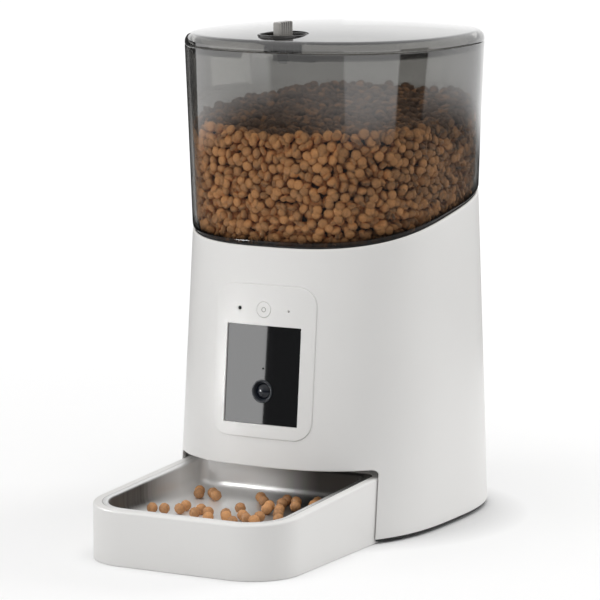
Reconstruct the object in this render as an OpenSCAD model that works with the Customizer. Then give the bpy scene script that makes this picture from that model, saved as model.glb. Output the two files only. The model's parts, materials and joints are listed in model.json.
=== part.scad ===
// Pet feeder with a camera: a moulded body, a clear food hopper with a latched lid, a paddle rotor that
// meters the food into a chute, and a food tray with a steel bowl that slides into a bay under the camera.
// The front faces -Y, +Z is up, and the feet stand on z = 0.

/* [Body] */
// Width of the housing at its foot
body_w = 186; // [176:1:200]
// Depth from the body axis to the front of the foot
body_front = 114; // [110:0.5:120]
// Depth from the body axis to the back of the foot
body_back = 115; // [110:0.5:122]
// Width of the housing at the seam
waist_w = 175; // [168:1:182]
// Depth from the body axis to the front of the seam
waist_front = 95.5; // [92:0.5:100]
// Depth from the body axis to the back of the seam
waist_back = 103.5; // [98:0.5:108]
// Squareness of the housing in plan, where 2 is an ellipse
body_square = 2.8; // [2.5:0.1:3.4]
// Height of the seam above the floor on the body axis
seam_z = 212; // [204:1:224]
// Slope of the seam, rising to the back
seam_tilt = 9.2; // [6:0.1:11]
// Wall of the housing
body_wall = 2.6; // [2.2:0.1:3.2]
// Height of the housing's lower edge above the floor
foot_z = 3; // [2.4:0.1:4]
// Width of the ledge inside the top of the housing that carries the funnel
ledge_w = 6; // [4:0.5:8]

/* [Hopper and lid] */
// Width of the hopper at its rim
rim_w = 192; // [184:1:200]
// Depth from the body axis to the front of the rim
rim_front = 102.5; // [98:0.5:107]
// Depth from the body axis to the back of the rim
rim_back = 105.5; // [100:0.5:110]
// Squareness of the rim in plan
rim_square = 2.4; // [2.2:0.1:3]
// Height of the rim above the floor
rim_z = 327; // [300:1:350]
// Wall of the hopper
hopper_wall = 2.4; // [2:0.1:3]
// Height of the lid's upright edge
lid_edge = 8; // [7:0.5:11]
// Radius at the top of the lid's edge
lid_round = 6; // [4:0.5:6.5]
// Rise of the lid's top from its edge to its middle
lid_crown = 5; // [3:0.5:7]
// Wall of the lid
lid_wall = 2.4; // [2:0.1:3]
// Depth of the lid's inner skirt below the rim
skirt_h = 5; // [4:0.5:7]
// Thickness of the seal between hopper and housing
gasket_t = 1.2; // [0.8:0.1:1.6]

/* [Latch] */
// Distance of the latch in front of the body axis
latch_y = 73; // [66:1:74]
// Outer radius of the latch cup
cup_r = 17; // [16:0.5:20]
// Depth of the cup's dish below its rim
dish_h = 2.6; // [2.5:0.1:4]
// Length of the twist grip
grip_l = 18; // [12:0.5:20]
// Width of the twist grip
grip_w = 6; // [5:0.5:9]
// Height of the twist grip above the cup's rim
grip_h = 8.2; // [5:0.2:10]
// Radius of the latch spindle
spindle_r = 4; // [3:0.1:5]
// Reach of the latch cam from the spindle
cam_reach = 26; // [25:0.2:27]

/* [Front panel] */
// Width of the panel
panel_w = 76.4; // [70:0.2:82]
// Height of the panel
panel_h = 103; // [98:1:106]
// Corner radius of the panel
panel_r = 13; // [6:0.5:16]
// Distance from the seam down to the panel's top edge
panel_drop = 24.5; // [23:0.5:28]
// Height of the panel's face above the housing
panel_proud = 0.8; // [0.4:0.1:1.2]
// Width of the camera window
window_w = 56; // [50:0.5:60]
// Height of the camera window
window_h = 66; // [60:0.5:68]
// Distance from the panel's top edge down to the window
window_drop = 27.6; // [26:0.2:28]
// Thickness of the window pane
pane_t = 2; // [1.5:0.1:2.5]
// Outer radius of the lens ring
lens_r = 7.7; // [6:0.1:9]
// Distance from the window's lower edge up to the lens
lens_rise = 22; // [16:0.5:30]
// Radius of the feed button
button_r = 5.35; // [4:0.05:6.5]
// Distance from the panel's top edge down to the button
button_drop = 16.9; // [15:0.1:18]
// Travel of the feed button
button_travel = 1.2; // [0.8:0.1:1.6]
// Sideways distance from the button to the light and to the microphone
dot_x = 18.65; // [14:0.05:22]

/* [Tray and bay] */
// Width of the tray
tray_w = 150; // [140:1:152]
// Distance from the body axis to the front of the tray
tray_front = 221; // [205:1:235]
// Length of the tray
tray_len = 157; // [140:1:160]
// Height of the tray's rim at its front
tray_h = 36.5; // [32:0.5:40]
// Slope of the tray's rim, rising to the back
tray_tilt = 3.05; // [1:0.05:4]
// Radius of the tray's front corners
tray_r = 34; // [26:1:44]
// Radius of the tray's back corners
tray_back_r = 12; // [9:1:40]
// Wall of the tray
tray_wall = 2.4; // [2:0.1:3.2]
// Width of the tray's rim
tray_rim = 6; // [5:0.5:9]
// Depth of the steel bowl
bowl_h = 15; // [13:0.5:28]
// Thickness of the bowl's sheet steel
bowl_t = 0.8; // [0.6:0.1:1.2]
// Width of the bowl's flange
bowl_flange = 3.6; // [3:0.2:5]
// Room between the tray and the sides of its bay
bay_gap = 0.6; // [0.5:0.1:1.4]
// Room above the back of the tray
bay_head = 5.1; // [3:0.1:7]
// Wall of the bay
bay_wall = 2.2; // [1.8:0.1:3]

/* [Metering drive] */
// Distance of the rotor axis behind the body axis
drum_y = 10; // [8:0.5:13]
// Inner radius of the drum
drum_r = 56; // [54:0.5:57]
// Inner height of the drum
drum_h = 29; // [25:0.5:32]
// Wall of the drum
drum_wall = 2.4; // [2:0.1:3]
// Distance from the front of the seam down to the drum's top
funnel_drop = 46.5; // [43:0.5:50]
// Wall of the funnel
funnel_wall = 2.2; // [1.8:0.1:3]
// Number of vanes on the rotor
vane_n = 6; // [5:1:8]
// Thickness of a vane
vane_t = 3; // [2:0.1:4]
// Radius of the rotor hub
hub_r = 12; // [10:0.5:14]
// Radius of the rotor shaft
shaft_r = 4; // [3:0.1:4.5]
// Width of the drum's outlet and of the chute inside
outlet_w = 48; // [40:1:54]
// Length of the outlet from front to back
outlet_l = 24; // [20:0.5:26]
// Wall of the chute
chute_wall = 1.8; // [1.5:0.1:2.4]
// Module of the gears
gear_m = 0.8; // [0.7:0.02:0.84]
// Teeth of the output gear
output_n = 48; // [40:1:50]
// Teeth of the idler's wheel
wheel_n = 36; // [30:1:38]
// Teeth of the two pinions
pinion_n = 12; // [11:1:14]
// Face width of the gears
gear_t = 7; // [6:0.2:8]
// Radius of the motor
motor_r = 12; // [10:0.5:13]
// Length of the motor
motor_l = 31; // [26:0.5:34]

/* [Base] */
// Thickness of the base plate inside the housing
plate_t = 2.5; // [2:0.1:3.5]
// Height of the base plate's underside above the floor
plate_z = 1.5; // [1.2:0.1:1.9]
// Diameter of a battery cell
cell_d = 34.2; // [33:0.1:35]
// Length of a battery cell
cell_l = 61.5; // [60:0.1:63]
// Room for the battery springs along the cells
spring_room = 8; // [6:0.1:9]
// Wall of the battery box
box_wall = 1.8; // [1.5:0.1:2.4]
// Thickness of the battery door
door_t = 2; // [1.8:0.05:2.2]
// Radius of the speaker
speaker_r = 16; // [13:0.5:18]
// Height of the power inlet above the floor
inlet_z = 28; // [24:0.5:36]

/* [Fits] */
// Clearance of pieces that are put together once
fit = 0.2; // [0.15:0.01:0.3]
// Radial clearance of turning pins and shafts
run = 0.06; // [0.04:0.01:0.09]
// Backlash between gear teeth
backlash = 0.2; // [0.1:0.01:0.3]

/* [Hidden] */
$fn = 48;
ring_n = 72;
corner_n = 10;
bend_step = 22.5;
over = 1;

// The part's origin is under the middle of its plan, from the tray's front to the body's back
shift_y = (tray_front - body_back) / 2;

// Heights and lean of the housing's front
front_seam_z = seam_at(-waist_front);
lean = atan((body_front - waist_front) / (front_seam_z - foot_z));
edge_r = 0.8;
ledge_drop = 10;
ledge_gap = 0.1;
spigot_gap = 0.3;
ledge_t = 3;
flange_t = 2;
hopper_foot = 3;
spigot_o = body_wall + fit;
spigot_drop = ledge_drop - flange_t - ledge_gap - spigot_gap;

// Lid and latch
lid_gap = 0.4;
lid_top = rim_z + lid_edge;
latch_z = lid_top + lid_crown * (1 - pow(latch_y / rim_front, 2));
cup_floor = latch_z - dish_h;
cup_flange_t = 1.6;
groove_r = 1.1;
groove_out = 0.3;
cup_flange_z = lid_top - lid_wall - cup_flange_t - 0.4;
sleeve_r = spindle_r + 3;
cam_top = rim_z - 4;
cam_t = 3.4;
catch_w = 16;
catch_gap = 0.4;
catch_t = 3;
notch_w = 36;
rim_taper = max((rim_w - waist_w) / 2 / (rim_z - seam_z),
                (rim_front - waist_front) / (rim_z - front_seam_z), 0);
seal_gap = 0.3;
seal_t = 0.5;
seal_o = hopper_wall + rim_taper * skirt_h + seal_gap;
skirt_o = seal_o + seal_t;
skirt_t = 1.8;

// Front panel, measured down from the seam
panel_top = front_seam_z - panel_drop;
panel_z = panel_top - panel_h / 2;
window_z = panel_top - window_drop - window_h / 2;
lens_z = window_z - window_h / 2 + lens_rise;
button_z = panel_top - button_drop;
pane_back = 1.9;
pane_seat = 2.4;
frame_wall = 3;
frame_back = pane_back + pane_t + 4;
board_t = 1.6;
button_board = 12;
switch_w = 6.2;
switch_h = 3.5;
plunger_r = 1.75;
plunger_h = 1;
board_half = 30;
strip_h = 17;
plug_size = [14, 7, 5];
post_r = 2.4;
light_r = 1.35;
mic_hole_r = 0.7;
mic_r = 3;
sensor_w = 18;
sensor_h = 3;

// Tray and bay
tray_back = tray_front - tray_len;
tray_back_h = tray_h + tray_len * tan(tray_tilt);
bay_half = tray_w / 2 + bay_gap;
bay_roof = tray_back_h + bay_head;
bay_stop = 0.3;
bay_back = tray_back - bay_stop;
bay_corner_r = 3.5;
bay_fit = 0.5;
rim_t = 2.4;
bowl_seat = 1;
bowl_bend = 9;
back_bend = 7;
bowl_lap = 0.4;
collar_t = 1.6;

// Drum, chute and gears
drum_top = front_seam_z - funnel_drop;
floor_t = 3;
drum_floor = drum_top - drum_h - floor_t;
drum_flange = 9;
screw_ring = drum_r + drum_wall + 3.4;
baffle_t = 2;
baffle_lap = 1.1;
outlet_back = drum_y - 28;
outlet_front = outlet_back - outlet_l;
mouth_back = -tray_back - 2.5;
mouth_front = mouth_back - outlet_l;
chute_heel = 3;
chute_toe = 12;
chute_chin = 14;
chute_brow = 5;
chute_flange = 7;
case_wall = 2;
gear_gap = 1.5;
case_h = 2 * gear_t + 20;
case_z = drum_floor - case_h;
wheel_z = case_z + case_wall + 5.5;
output_z = wheel_z + gear_t + 3;
idler_turn = 35;
pinion_turn = 80;
output_reach = gear_m * (output_n + pinion_n) / 2;
wheel_reach = gear_m * (wheel_n + pinion_n) / 2;
output_xy = [0, drum_y];
idler_xy = output_xy + output_reach * [cos(idler_turn), sin(idler_turn)];
pinion_xy = idler_xy + wheel_reach * [cos(pinion_turn), sin(pinion_turn)];
idler_pin_r = 2;
motor_shaft_r = 1.5;
motor_nose_r = 5;
lug_r = 4;
lug_h = 10;
lug_turns = [110, 200];
idler_lug_turn = -10;
lug_reach = gear_m + gear_gap + case_wall + lug_r - 1;
case_lugs = [
    for (t = lug_turns) output_xy + (gear_m * output_n / 2 + lug_reach) * [cos(t), sin(t)],
    idler_xy + (gear_m * wheel_n / 2 + lug_reach) * [cos(idler_lug_turn), sin(idler_lug_turn)]
];

// Rotor and stirrer
vane_gap = 0.8;
rotor_gap = 0.6;
vane_root = 2.4;
rotor_neck = 6;
stir_h = 9;
stir_reach = 34;
stir_arm_r = 2.6;
finger_r = 2.8;
finger_h = 22;
stir_screw_r = 1.6;
stir_head_r = 3;

// Base, battery box and boards
plate_top = foot_z + plate_t;
cell_n = 3;
box_half = cell_n * cell_d / 2 + 1.5;
box_len = cell_l + spring_room;
box_front = -4;
box_back = box_front + box_len;
box_z = plate_z + door_t + cell_d + 2;
hinge_r = 1.4;
hinge_y = box_back - hinge_r - fit;
hinge_z = plate_z + hinge_r;
hinge_pin_r = 1;
hinge_pin_l = 3;
main_post_h = 6;
main_board_z = box_z + box_wall + main_post_h;
main_board_x = [-52, pinion_xy.x - motor_r - 6];
main_board_y = [box_front + 2, box_back - 2];
speaker_xy = [-24, box_back + box_wall + speaker_r + 4];
boss_r = 4;
boss_h = 26;
boss_inset = body_wall + boss_r - 0.6;
boss_turns = [18, 60, 120, 162, 197, 343];
foot_turns = [45, 135, 212, 328];
foot_r = 6;
pilot_r = 1.5;
shank_r = 1.4;
head_r = 2.8;
head_h = 2;
pilot_end = 4;
foot_inset = body_wall + foot_r + 3;
slot_pitch = 4;
slot_w = 1.6;
cone_h = 5;
magnet_h = 4;
inlet_w = 9.4;
inlet_h = 3.8;
inlet_l = 9;
inlet_post = 9;
inlet_wall = 0.5;
inlet_room = 1.2;
inlet_board_z = inlet_z - inlet_h / 2 - board_t;
inlet_y0 = body_back - 17;
post_in = 6;
contact_w = 16;
contact_h = 14;
contact_t = 0.7;
spring_r = 5;
spring_h = 4;
cap_r = 4;
cap_h = 11;
radio_size = [18, 25, 3];
chip_w = 12;
chip_t = 1.6;
header_size = [26, 6, 7];

// Outlines in plan: a polar superellipse with its own depth in front of the axis and behind it
function radius_at(t, half, front, back, square) =
    let (c = abs(cos(t)) / half, s = abs(sin(t)) / (sin(t) < 0 ? front : back))
    1 / pow(pow(c, square) + pow(s, square), 1 / square);

function oval(half, front, back, square) =
    [for (i = [0 : ring_n - 1])
        let (t = 360 * i / ring_n, r = radius_at(t, half, front, back, square))
        [r * cos(t), r * sin(t)]];

function foot_oval(o) = oval(body_w / 2 - o, body_front - o, body_back - o, body_square);
function waist_oval(o) = oval(waist_w / 2 - o, waist_front - o, waist_back - o, body_square);
function rim_oval(o) = oval(rim_w / 2 - o, rim_front - o, rim_back - o, rim_square);

function seam_at(y) = seam_z + y * tan(seam_tilt);
function front_at(z) = body_front - (z - foot_z) * tan(lean);
function lift(points, z) = [for (p = points) [p.x, p.y, z]];
function on_seam(points) = [for (p = points) [p.x, p.y, seam_at(p.y)]];

// A straight line from a to b, taken at height z
function at_height(a, b, z) = a + (b - a) * (z - a.z) / (b.z - a.z);

// Rings of the housing and of the hopper, inset by o: at a level, or parallel to the seam
function body_level(o, z) =
    let (f = lift(foot_oval(o), foot_z), w = on_seam(waist_oval(o)))
    [for (i = [0 : ring_n - 1]) at_height(f[i], w[i], z)];

function body_seam(o, dz) =
    let (f = lift(foot_oval(o), foot_z), w = on_seam(waist_oval(o)))
    [for (i = [0 : ring_n - 1]) at_height(f[i], w[i], w[i].z + dz)];

function hopper_level(o, z) =
    let (w = on_seam(waist_oval(o)), r = lift(rim_oval(o), rim_z))
    [for (i = [0 : ring_n - 1]) at_height(w[i], r[i], z)];

function hopper_seam(o, dz) =
    let (w = on_seam(waist_oval(o)), r = lift(rim_oval(o), rim_z))
    [for (i = [0 : ring_n - 1]) at_height(w[i], r[i], w[i].z + dz)];

function rim_level(o, z) = lift(rim_oval(o), z);

function round_ring(r, y, z) =
    [for (i = [0 : ring_n - 1]) let (t = 360 * i / ring_n) [r * cos(t), y + r * sin(t), z]];

// Point on the foot outline at a polar angle, inset by o
function foot_point(t, o) =
    let (r = radius_at(t, body_w / 2 - o, body_front - o, body_back - o, body_square))
    [r * cos(t), r * sin(t)];

// A rounded rectangle from y0 to y1 with its own radius at the front and at the back
function rounded(half, y0, y1, r0, r1) =
    [for (corner = [[half - r1, y1 - r1, r1, 0], [r1 - half, y1 - r1, r1, 90],
                    [r0 - half, y0 + r0, r0, 180], [half - r0, y0 + r0, r0, 270]])
        for (k = [0 : corner_n])
            let (t = corner[3] + 90 * k / corner_n)
            [corner.x + corner[2] * cos(t), corner.y + corner[2] * sin(t)]];

function tray_outline(o) =
    rounded(tray_w / 2 - o, o - tray_front, -tray_back - o, tray_r - o, max(tray_back_r - o, back_bend));

function tray_rim_at(y) = tray_h + (y + tray_front) * tan(tray_tilt);
function tray_ring(o, dz) = [for (p = tray_outline(o)) [p.x, p.y, tray_rim_at(p.y) + dz]];

// Closed skin over rings of equal count. The rings run outwards below, up outside and inwards above.
module skin(rings, closed = false) {
    n = len(rings[0]);
    m = len(rings);
    points = [for (ring = rings) for (p = ring) p];
    sides = [for (i = [0 : m - (closed ? 1 : 2)]) for (j = [0 : n - 1])
        let (k = (i + 1) % m, l = (j + 1) % n)
        each [[i * n + j, k * n + j, k * n + l], [i * n + j, k * n + l, i * n + l]]];
    caps = closed ? [] : [[for (j = [0 : n - 1]) j], [for (j = [n - 1 : -1 : 0]) (m - 1) * n + j]];
    polyhedron(points, concat(sides, caps), convexity = 8);
}

module body_solid(o, z0, z1) {
    skin([body_level(o, z0), body_level(o, z1)]);
}

// A box from one corner to the other
module block(a, b) {
    translate(a) cube(b - a);
}

module rod(r, z0, z1) {
    translate([0, 0, z0]) cylinder(r = r, h = z1 - z0);
}

// A rounded rectangle about the origin
module plate(w, h, r) {
    polygon(rounded(w / 2, -h / 2, h / 2, r, r));
}

// Frame on the housing's front at height z: x to the right, y up the face, z out of it
module on_front(z) {
    translate([0, -front_at(z), z]) rotate([90 - lean, 0, 0]) children();
}

module screw(z_seat, length, up = 1) {
    translate([0, 0, z_seat]) mirror([0, 0, up > 0 ? 0 : 1]) {
        rod(shank_r, 0, length);
        difference() {
            rod(head_r, -head_h, 0);
            translate([0, 0, -head_h - over]) cylinder(r = head_r / 2, h = over + head_h / 2, $fn = 6);
        }
    }
}

// Involute spur gear in plan, with a tooth pointing along +X
function involute(angle) = tan(angle) * 180 / PI - angle;

function flank(n, r) =
    let (pitch = gear_m * n / 2, base = pitch * cos(25))
    90 / n - backlash / pitch * 45 / PI + involute(25) - involute(acos(min(1, base / r)));

function tooth(n) =
    let (pitch = gear_m * n / 2, root = pitch - 1.25 * gear_m, tip = pitch + gear_m,
         low = max(root, pitch * cos(25)), steps = 3,
         rs = concat([root], [for (k = [0 : steps]) low + (tip - low) * k / steps]))
    [for (r = rs) [r, flank(n, max(r, low))]];

module spur(n) {
    side = tooth(n);
    last = len(side) - 1;
    polygon([for (i = [0 : n - 1]) each concat(
        [for (p = side) let (t = 360 * i / n - p[1]) p[0] * [cos(t), sin(t)]],
        [for (k = [last : -1 : 0]) let (p = side[k], t = 360 * i / n + p[1]) p[0] * [cos(t), sin(t)]])]);
}

module gear_space(extra) {
    translate(output_xy) circle(gear_m * (output_n + 2) / 2 + gear_gap + extra);
    translate(idler_xy) circle(gear_m * (wheel_n + 2) / 2 + gear_gap + extra);
    translate(pinion_xy) circle(gear_m * (pinion_n + 2) / 2 + gear_gap + extra);
}

// Body
module bay_opening(y0, y1) {
    translate([0, y1, 0]) rotate([90, 0, 0]) linear_extrude(y1 - y0)
        polygon(rounded(bay_half, -plate_z - over, bay_roof, over / 2, bay_corner_r));
}

module main_housing() {
    color("white") difference() {
        union() {
            skin([
                body_level(edge_r, foot_z),
                body_level(0, foot_z + edge_r),
                body_seam(0, -edge_r),
                body_seam(edge_r / 3, -edge_r / 3),
                body_seam(edge_r, 0),
                body_seam(body_wall, 0),
                body_seam(body_wall, -ledge_drop),
                body_seam(body_wall + ledge_w, -ledge_drop),
                body_seam(body_wall + ledge_w, -ledge_drop - ledge_t),
                body_seam(body_wall, -ledge_drop - ledge_t - ledge_w),
                body_level(body_wall, foot_z)
            ], closed = true);
            for (t = boss_turns)
                translate(foot_point(t, boss_inset)) rod(boss_r, plate_top, plate_top + boss_h);
        }
        bay_opening(-body_front - over, -bay_back);
        on_front(panel_z) linear_extrude(8 * body_wall, center = true)
            plate(panel_w + 2 * fit, panel_h + 2 * fit, panel_r);
        for (t = boss_turns)
            translate(foot_point(t, boss_inset))
                rod(pilot_r, plate_top - over, plate_top + boss_h - pilot_end);
        translate([0, body_back + over, inlet_z]) rotate([90, 0, 0]) linear_extrude(6 * body_wall)
            plate(inlet_w + 2 * inlet_room, inlet_h + 2 * inlet_room, inlet_h / 2 + inlet_room - 0.1);
    }
}

module base_plate() {
    color("#1c1c1e") difference() {
        union() {
            translate([0, 0, plate_z]) linear_extrude(foot_z - plate_z) polygon(foot_oval(edge_r + fit));
            translate([0, 0, foot_z]) linear_extrude(plate_t) polygon(foot_oval(body_wall + fit + 0.2));
            block([-box_half - box_wall, box_front - box_wall, plate_z],
                  [box_half + box_wall, box_back + box_wall, box_z + box_wall]);
            for (x = main_board_x + [post_in, -post_in], y = main_board_y + [post_in, -post_in])
                translate([x, y, 0]) rod(post_r, box_z, main_board_z);
            block([-inlet_post / 2, inlet_y0, plate_z],
                  [inlet_post / 2, inlet_y0 + inlet_post, inlet_board_z]);
        }
        block([-bay_half, -body_front - over, -over], [bay_half, -bay_back, plate_top + over]);
        block([-box_half, box_front, -over], [box_half, box_back, box_z]);
        for (t = boss_turns)
            translate(foot_point(t, boss_inset)) {
                rod(shank_r + fit, 0, plate_top + over);
                rod(head_r + fit, 0, plate_z + head_h + fit);
            }
        for (t = foot_turns)
            translate(foot_point(t, foot_inset)) rod(foot_r + fit, 0, plate_z + 1);
        for (k = [-3 : 3])
            let (x = slot_pitch * k, half = sqrt(pow(speaker_r - 2, 2) - x * x))
                translate(speaker_xy)
                    block([x - slot_w / 2, -half, 0], [x + slot_w / 2, half, plate_top + over]);
        translate([0, hinge_y, hinge_z]) rotate([0, 90, 0])
            cylinder(r = hinge_pin_r + run, h = 2 * (box_half + hinge_pin_l + fit), center = true);
        for (x = main_board_x + [post_in, -post_in], y = main_board_y + [post_in, -post_in])
            translate([x, y, 0]) rod(1, main_board_z - 4, main_board_z + over);
    }
    color("#1c1c1e") block([-box_half / 3, box_front - fit / 2, plate_z + door_t + fit],
                           [box_half / 3, box_front + 1.5, plate_top]);
}

module base_screws() {
    color("silver") for (t = boss_turns)
        translate(foot_point(t, boss_inset)) screw(plate_z + head_h + fit, boss_h - pilot_end - 2);
}

module rubber_feet() {
    color("#2a2a2a") for (t = foot_turns)
        translate(foot_point(t, foot_inset)) {
            rod(foot_r - 0.6, 0, 0.6);
            rod(foot_r, 0.6, plate_z + 1);
        }
}

module bowl_bay() {
    color("white") difference() {
        intersection() {
            block([-bay_half - bay_wall, -body_front, plate_top],
                  [bay_half + bay_wall, -bay_back + bay_wall, bay_roof + bay_wall]);
            body_solid(body_wall + bay_fit, 0, bay_roof + 2 * bay_wall);
        }
        bay_opening(-body_front - over, -bay_back);
        block([-outlet_w / 2 - chute_wall - fit, mouth_front - chute_wall - fit, bay_roof - over],
              [outlet_w / 2 + chute_wall + fit, mouth_back + chute_wall + fit, bay_roof + bay_wall + over]);
    }
}

// Hopper, funnel and lid
module hopper() {
    color("#8a8680", 0.55) union() {
        skin([
            hopper_seam(spigot_o, -spigot_drop),
            hopper_seam(spigot_o, gasket_t),
            hopper_seam(1.4, gasket_t),
            hopper_seam(0.4, gasket_t + 0.35 * hopper_foot),
            hopper_seam(0, gasket_t + hopper_foot),
            hopper_level(0, rim_z),
            hopper_level(hopper_wall, rim_z),
            hopper_seam(hopper_wall, gasket_t + 2 * hopper_foot),
            hopper_seam(spigot_o + hopper_wall, -spigot_drop)
        ], closed = true);
        block([-catch_w / 2, hopper_wall - 1 - rim_front + 0.4, cam_top + catch_gap],
              [catch_w / 2, -latch_y - cam_reach + 3, cam_top + catch_gap + catch_t]);
    }
}

module hopper_gasket() {
    color("#222222") skin([
        body_seam(edge_r + 0.4, 0),
        hopper_seam(edge_r + 0.4, gasket_t),
        hopper_seam(body_wall - fit, gasket_t),
        body_seam(body_wall - fit, 0)
    ], closed = true);
}

module food_funnel() {
    color("#d8d6d2") difference() {
        skin([
            round_ring(drum_r + drum_flange, drum_y, drum_top),
            round_ring(drum_r + drum_flange, drum_y, drum_top + flange_t),
            round_ring(drum_r + funnel_wall, drum_y, drum_top + flange_t),
            round_ring(drum_r + funnel_wall, drum_y, drum_top + flange_t + 1),
            body_seam(body_wall + ledge_w + fit + 1, ledge_gap - ledge_drop),
            body_seam(body_wall + fit, ledge_gap - ledge_drop),
            body_seam(body_wall + fit, ledge_gap - ledge_drop + flange_t),
            body_seam(body_wall + ledge_w + funnel_wall + 1, ledge_gap - ledge_drop + flange_t),
            round_ring(drum_r, drum_y, drum_top + flange_t + 2),
            round_ring(drum_r, drum_y, drum_top)
        ], closed = true);
        for (t = [45 : 90 : 315])
            translate([0, drum_y, 0]) rotate(t) translate([screw_ring, 0, 0])
                rod(pilot_r, drum_top - over, drum_top + 3 * flange_t);
    }
}

// The lid's top rises from its edge to its middle as a flat bowl: z against the share s of the way in
function lid_ring(o, s, z) =
    let (p = rim_oval(o)) [for (q = p) [q.x * (1 - s), q.y * (1 - s), z + lid_crown * (1 - pow(1 - s, 2))]];

module lid() {
    crown = [0.12, 0.3, 0.55, 0.8, 0.95];
    color("#d9d5cd", 0.8) difference() {
        skin(concat(
            [for (k = [len(crown) - 1 : -1 : 0])
                lid_ring(skirt_o + skirt_t, crown[k], lid_top - lid_wall)],
            [
                rim_level(skirt_o + skirt_t, lid_top - lid_wall - 1),
                rim_level(skirt_o + skirt_t, rim_z - skirt_h),
                rim_level(skirt_o, rim_z - skirt_h),
                rim_level(skirt_o, rim_z + lid_gap),
                rim_level(0.4, rim_z + lid_gap),
                rim_level(0, rim_z + lid_gap + 0.6)
            ],
            [for (t = [0 : 22.5 : 90])
                rim_level(lid_round * (1 - cos(t)), lid_top - lid_round * (1 - sin(t)))],
            [for (s = crown) lid_ring(lid_round, s, lid_top)]
        ));
        translate([0, -latch_y, 0]) rod(cup_r + fit, rim_z, lid_top + 2 * lid_crown);
        block([-notch_w / 2, -rim_front, rim_z - skirt_h - over],
              [notch_w / 2, -latch_y - cup_r, rim_z - 0.2]);
    }
}

module lid_seal() {
    color("#3a3a3a") difference() {
        skin([
            rim_level(skirt_o, rim_z - skirt_h + 1),
            rim_level(seal_o, rim_z - skirt_h + 2),
            rim_level(seal_o, rim_z - skirt_h + 2.8),
            rim_level(skirt_o, rim_z - skirt_h + 3.8)
        ], closed = true);
        block([-notch_w / 2, -rim_front, rim_z - skirt_h - over], [notch_w / 2, -latch_y - cup_r, rim_z]);
    }
}

module latch_cup() {
    color("#33312f") translate([0, -latch_y, 0]) difference() {
        union() {
            rod(cup_r, cup_flange_z, latch_z);
            rod(cup_r + 2, cup_flange_z, cup_flange_z + cup_flange_t);
            rod(sleeve_r, cam_top + 2, cup_flange_z + 1);
        }
        rod(cup_r - 1.5, cup_floor, latch_z + over);
        rod(spindle_r + run, cam_top, latch_z);
    }
}

module latch_housing() {
    color("#262423") translate([0, -latch_y, 0]) difference() {
        rod(cup_r - 4, cam_top + 2, cup_flange_z);
        rod(sleeve_r + fit, cam_top, latch_z);
        for (t = [0 : 60 : 300])
            rotate(t) translate([cup_r - 4, 0, 0]) rod(2, cam_top, cup_flange_z - 1.6);
    }
}

module lid_knob() {
    color("#8f8c88") translate([0, -latch_y, 0]) {
        difference() {
            union() {
                rod(spindle_r, cam_top - cam_t + 1.2, cup_floor + 1);
                rod(spindle_r + 2.4, cup_floor + fit, cup_floor + 1);
                translate([0, 0, cup_floor + fit]) linear_extrude(dish_h + grip_h - fit)
                    plate(grip_w, grip_l, 1.6);
            }
            rod(1.3, cam_top - cam_t, cam_top + 8);
            for (s = [-1, 1], k = [-2 : 2])
                translate([s * (grip_w / 2 + groove_out), k * grip_l / 6, cup_floor + 2])
                    cylinder(r = groove_r, h = dish_h + grip_h);
        }
    }
}

module latch_cam() {
    color("#4a4744") translate([0, -latch_y, 0]) difference() {
        union() {
            rod(spindle_r + 3, cam_top - cam_t, cam_top + 1.8);
            block([0, -4.5, cam_top - cam_t], [cam_reach - 4.5, 4.5, cam_top]);
            translate([cam_reach - 4.5, 0, 0]) rod(4.5, cam_top - cam_t, cam_top);
        }
        rod(spindle_r + 0.05, cam_top - cam_t + 1.2, cam_top + 3);
        rod(1.6, cam_top - cam_t - over, cam_top);
    }
}

module cam_screw() {
    color("silver") translate([0, -latch_y, cam_top - cam_t]) {
        rod(1.2, 0, 9);
        difference() {
            rod(3, -1.8, 0);
            translate([0, 0, -2.8]) cylinder(r = 1.5, h = 1.8, $fn = 6);
        }
    }
}

// Front panel and camera
module front_panel() {
    color("#efeeec") difference() {
        union() {
            intersection() {
                difference() {
                    body_solid(-panel_proud, bay_roof, front_seam_z);
                    body_solid(body_wall, bay_roof - over, front_seam_z + over);
                }
                on_front(panel_z) linear_extrude(10 * body_wall, center = true)
                    plate(panel_w, panel_h, panel_r);
            }
            on_front(window_z) translate([0, 0, -frame_back]) linear_extrude(frame_back - pane_back)
                plate(window_w + 2 * frame_wall, window_h + 2 * frame_wall, 2);
            for (s = [-1, 1])
                on_front(button_z) translate([s * (board_half - 4), 0, 0])
                    rod(post_r, -button_board, -pane_back);
        }
        on_front(window_z) linear_extrude(10 * body_wall, center = true)
            plate(window_w + 2 * fit, window_h + 2 * fit, 0.6);
        on_front(button_z) {
            rod(button_r + fit, -4 * body_wall, 4 * body_wall);
            translate([-dot_x, 0, 0]) rod(light_r, -4 * body_wall, 4 * body_wall);
            translate([dot_x, 0, 0]) rod(mic_hole_r, -4 * body_wall, 4 * body_wall);
        }
    }
    color("#efeeec") on_front(window_z) translate([0, 0, -frame_back])
        linear_extrude(frame_back - pane_back - pane_t)
        difference() {
            plate(window_w + 2 * fit + 1, window_h + 2 * fit + 1, 0.6);
            plate(window_w - 2 * pane_seat, window_h - 2 * pane_seat, 0.6);
        }
}

module camera_window() {
    color("#121316") on_front(window_z) translate([0, 0, -pane_back - pane_t]) linear_extrude(pane_t)
        difference() {
            plate(window_w, window_h, 0.6);
            translate([0, (lens_z - window_z) / cos(lean)]) circle(lens_r + fit);
            translate([0, (lens_z - window_z) / cos(lean) + 2 * lens_r]) circle(mic_hole_r);
        }
}

// The lens sits square to the housing's front, in a hole through the pane
module at_lens() {
    on_front(window_z) translate([0, (lens_z - window_z) / cos(lean), -pane_back]) children();
}

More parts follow.
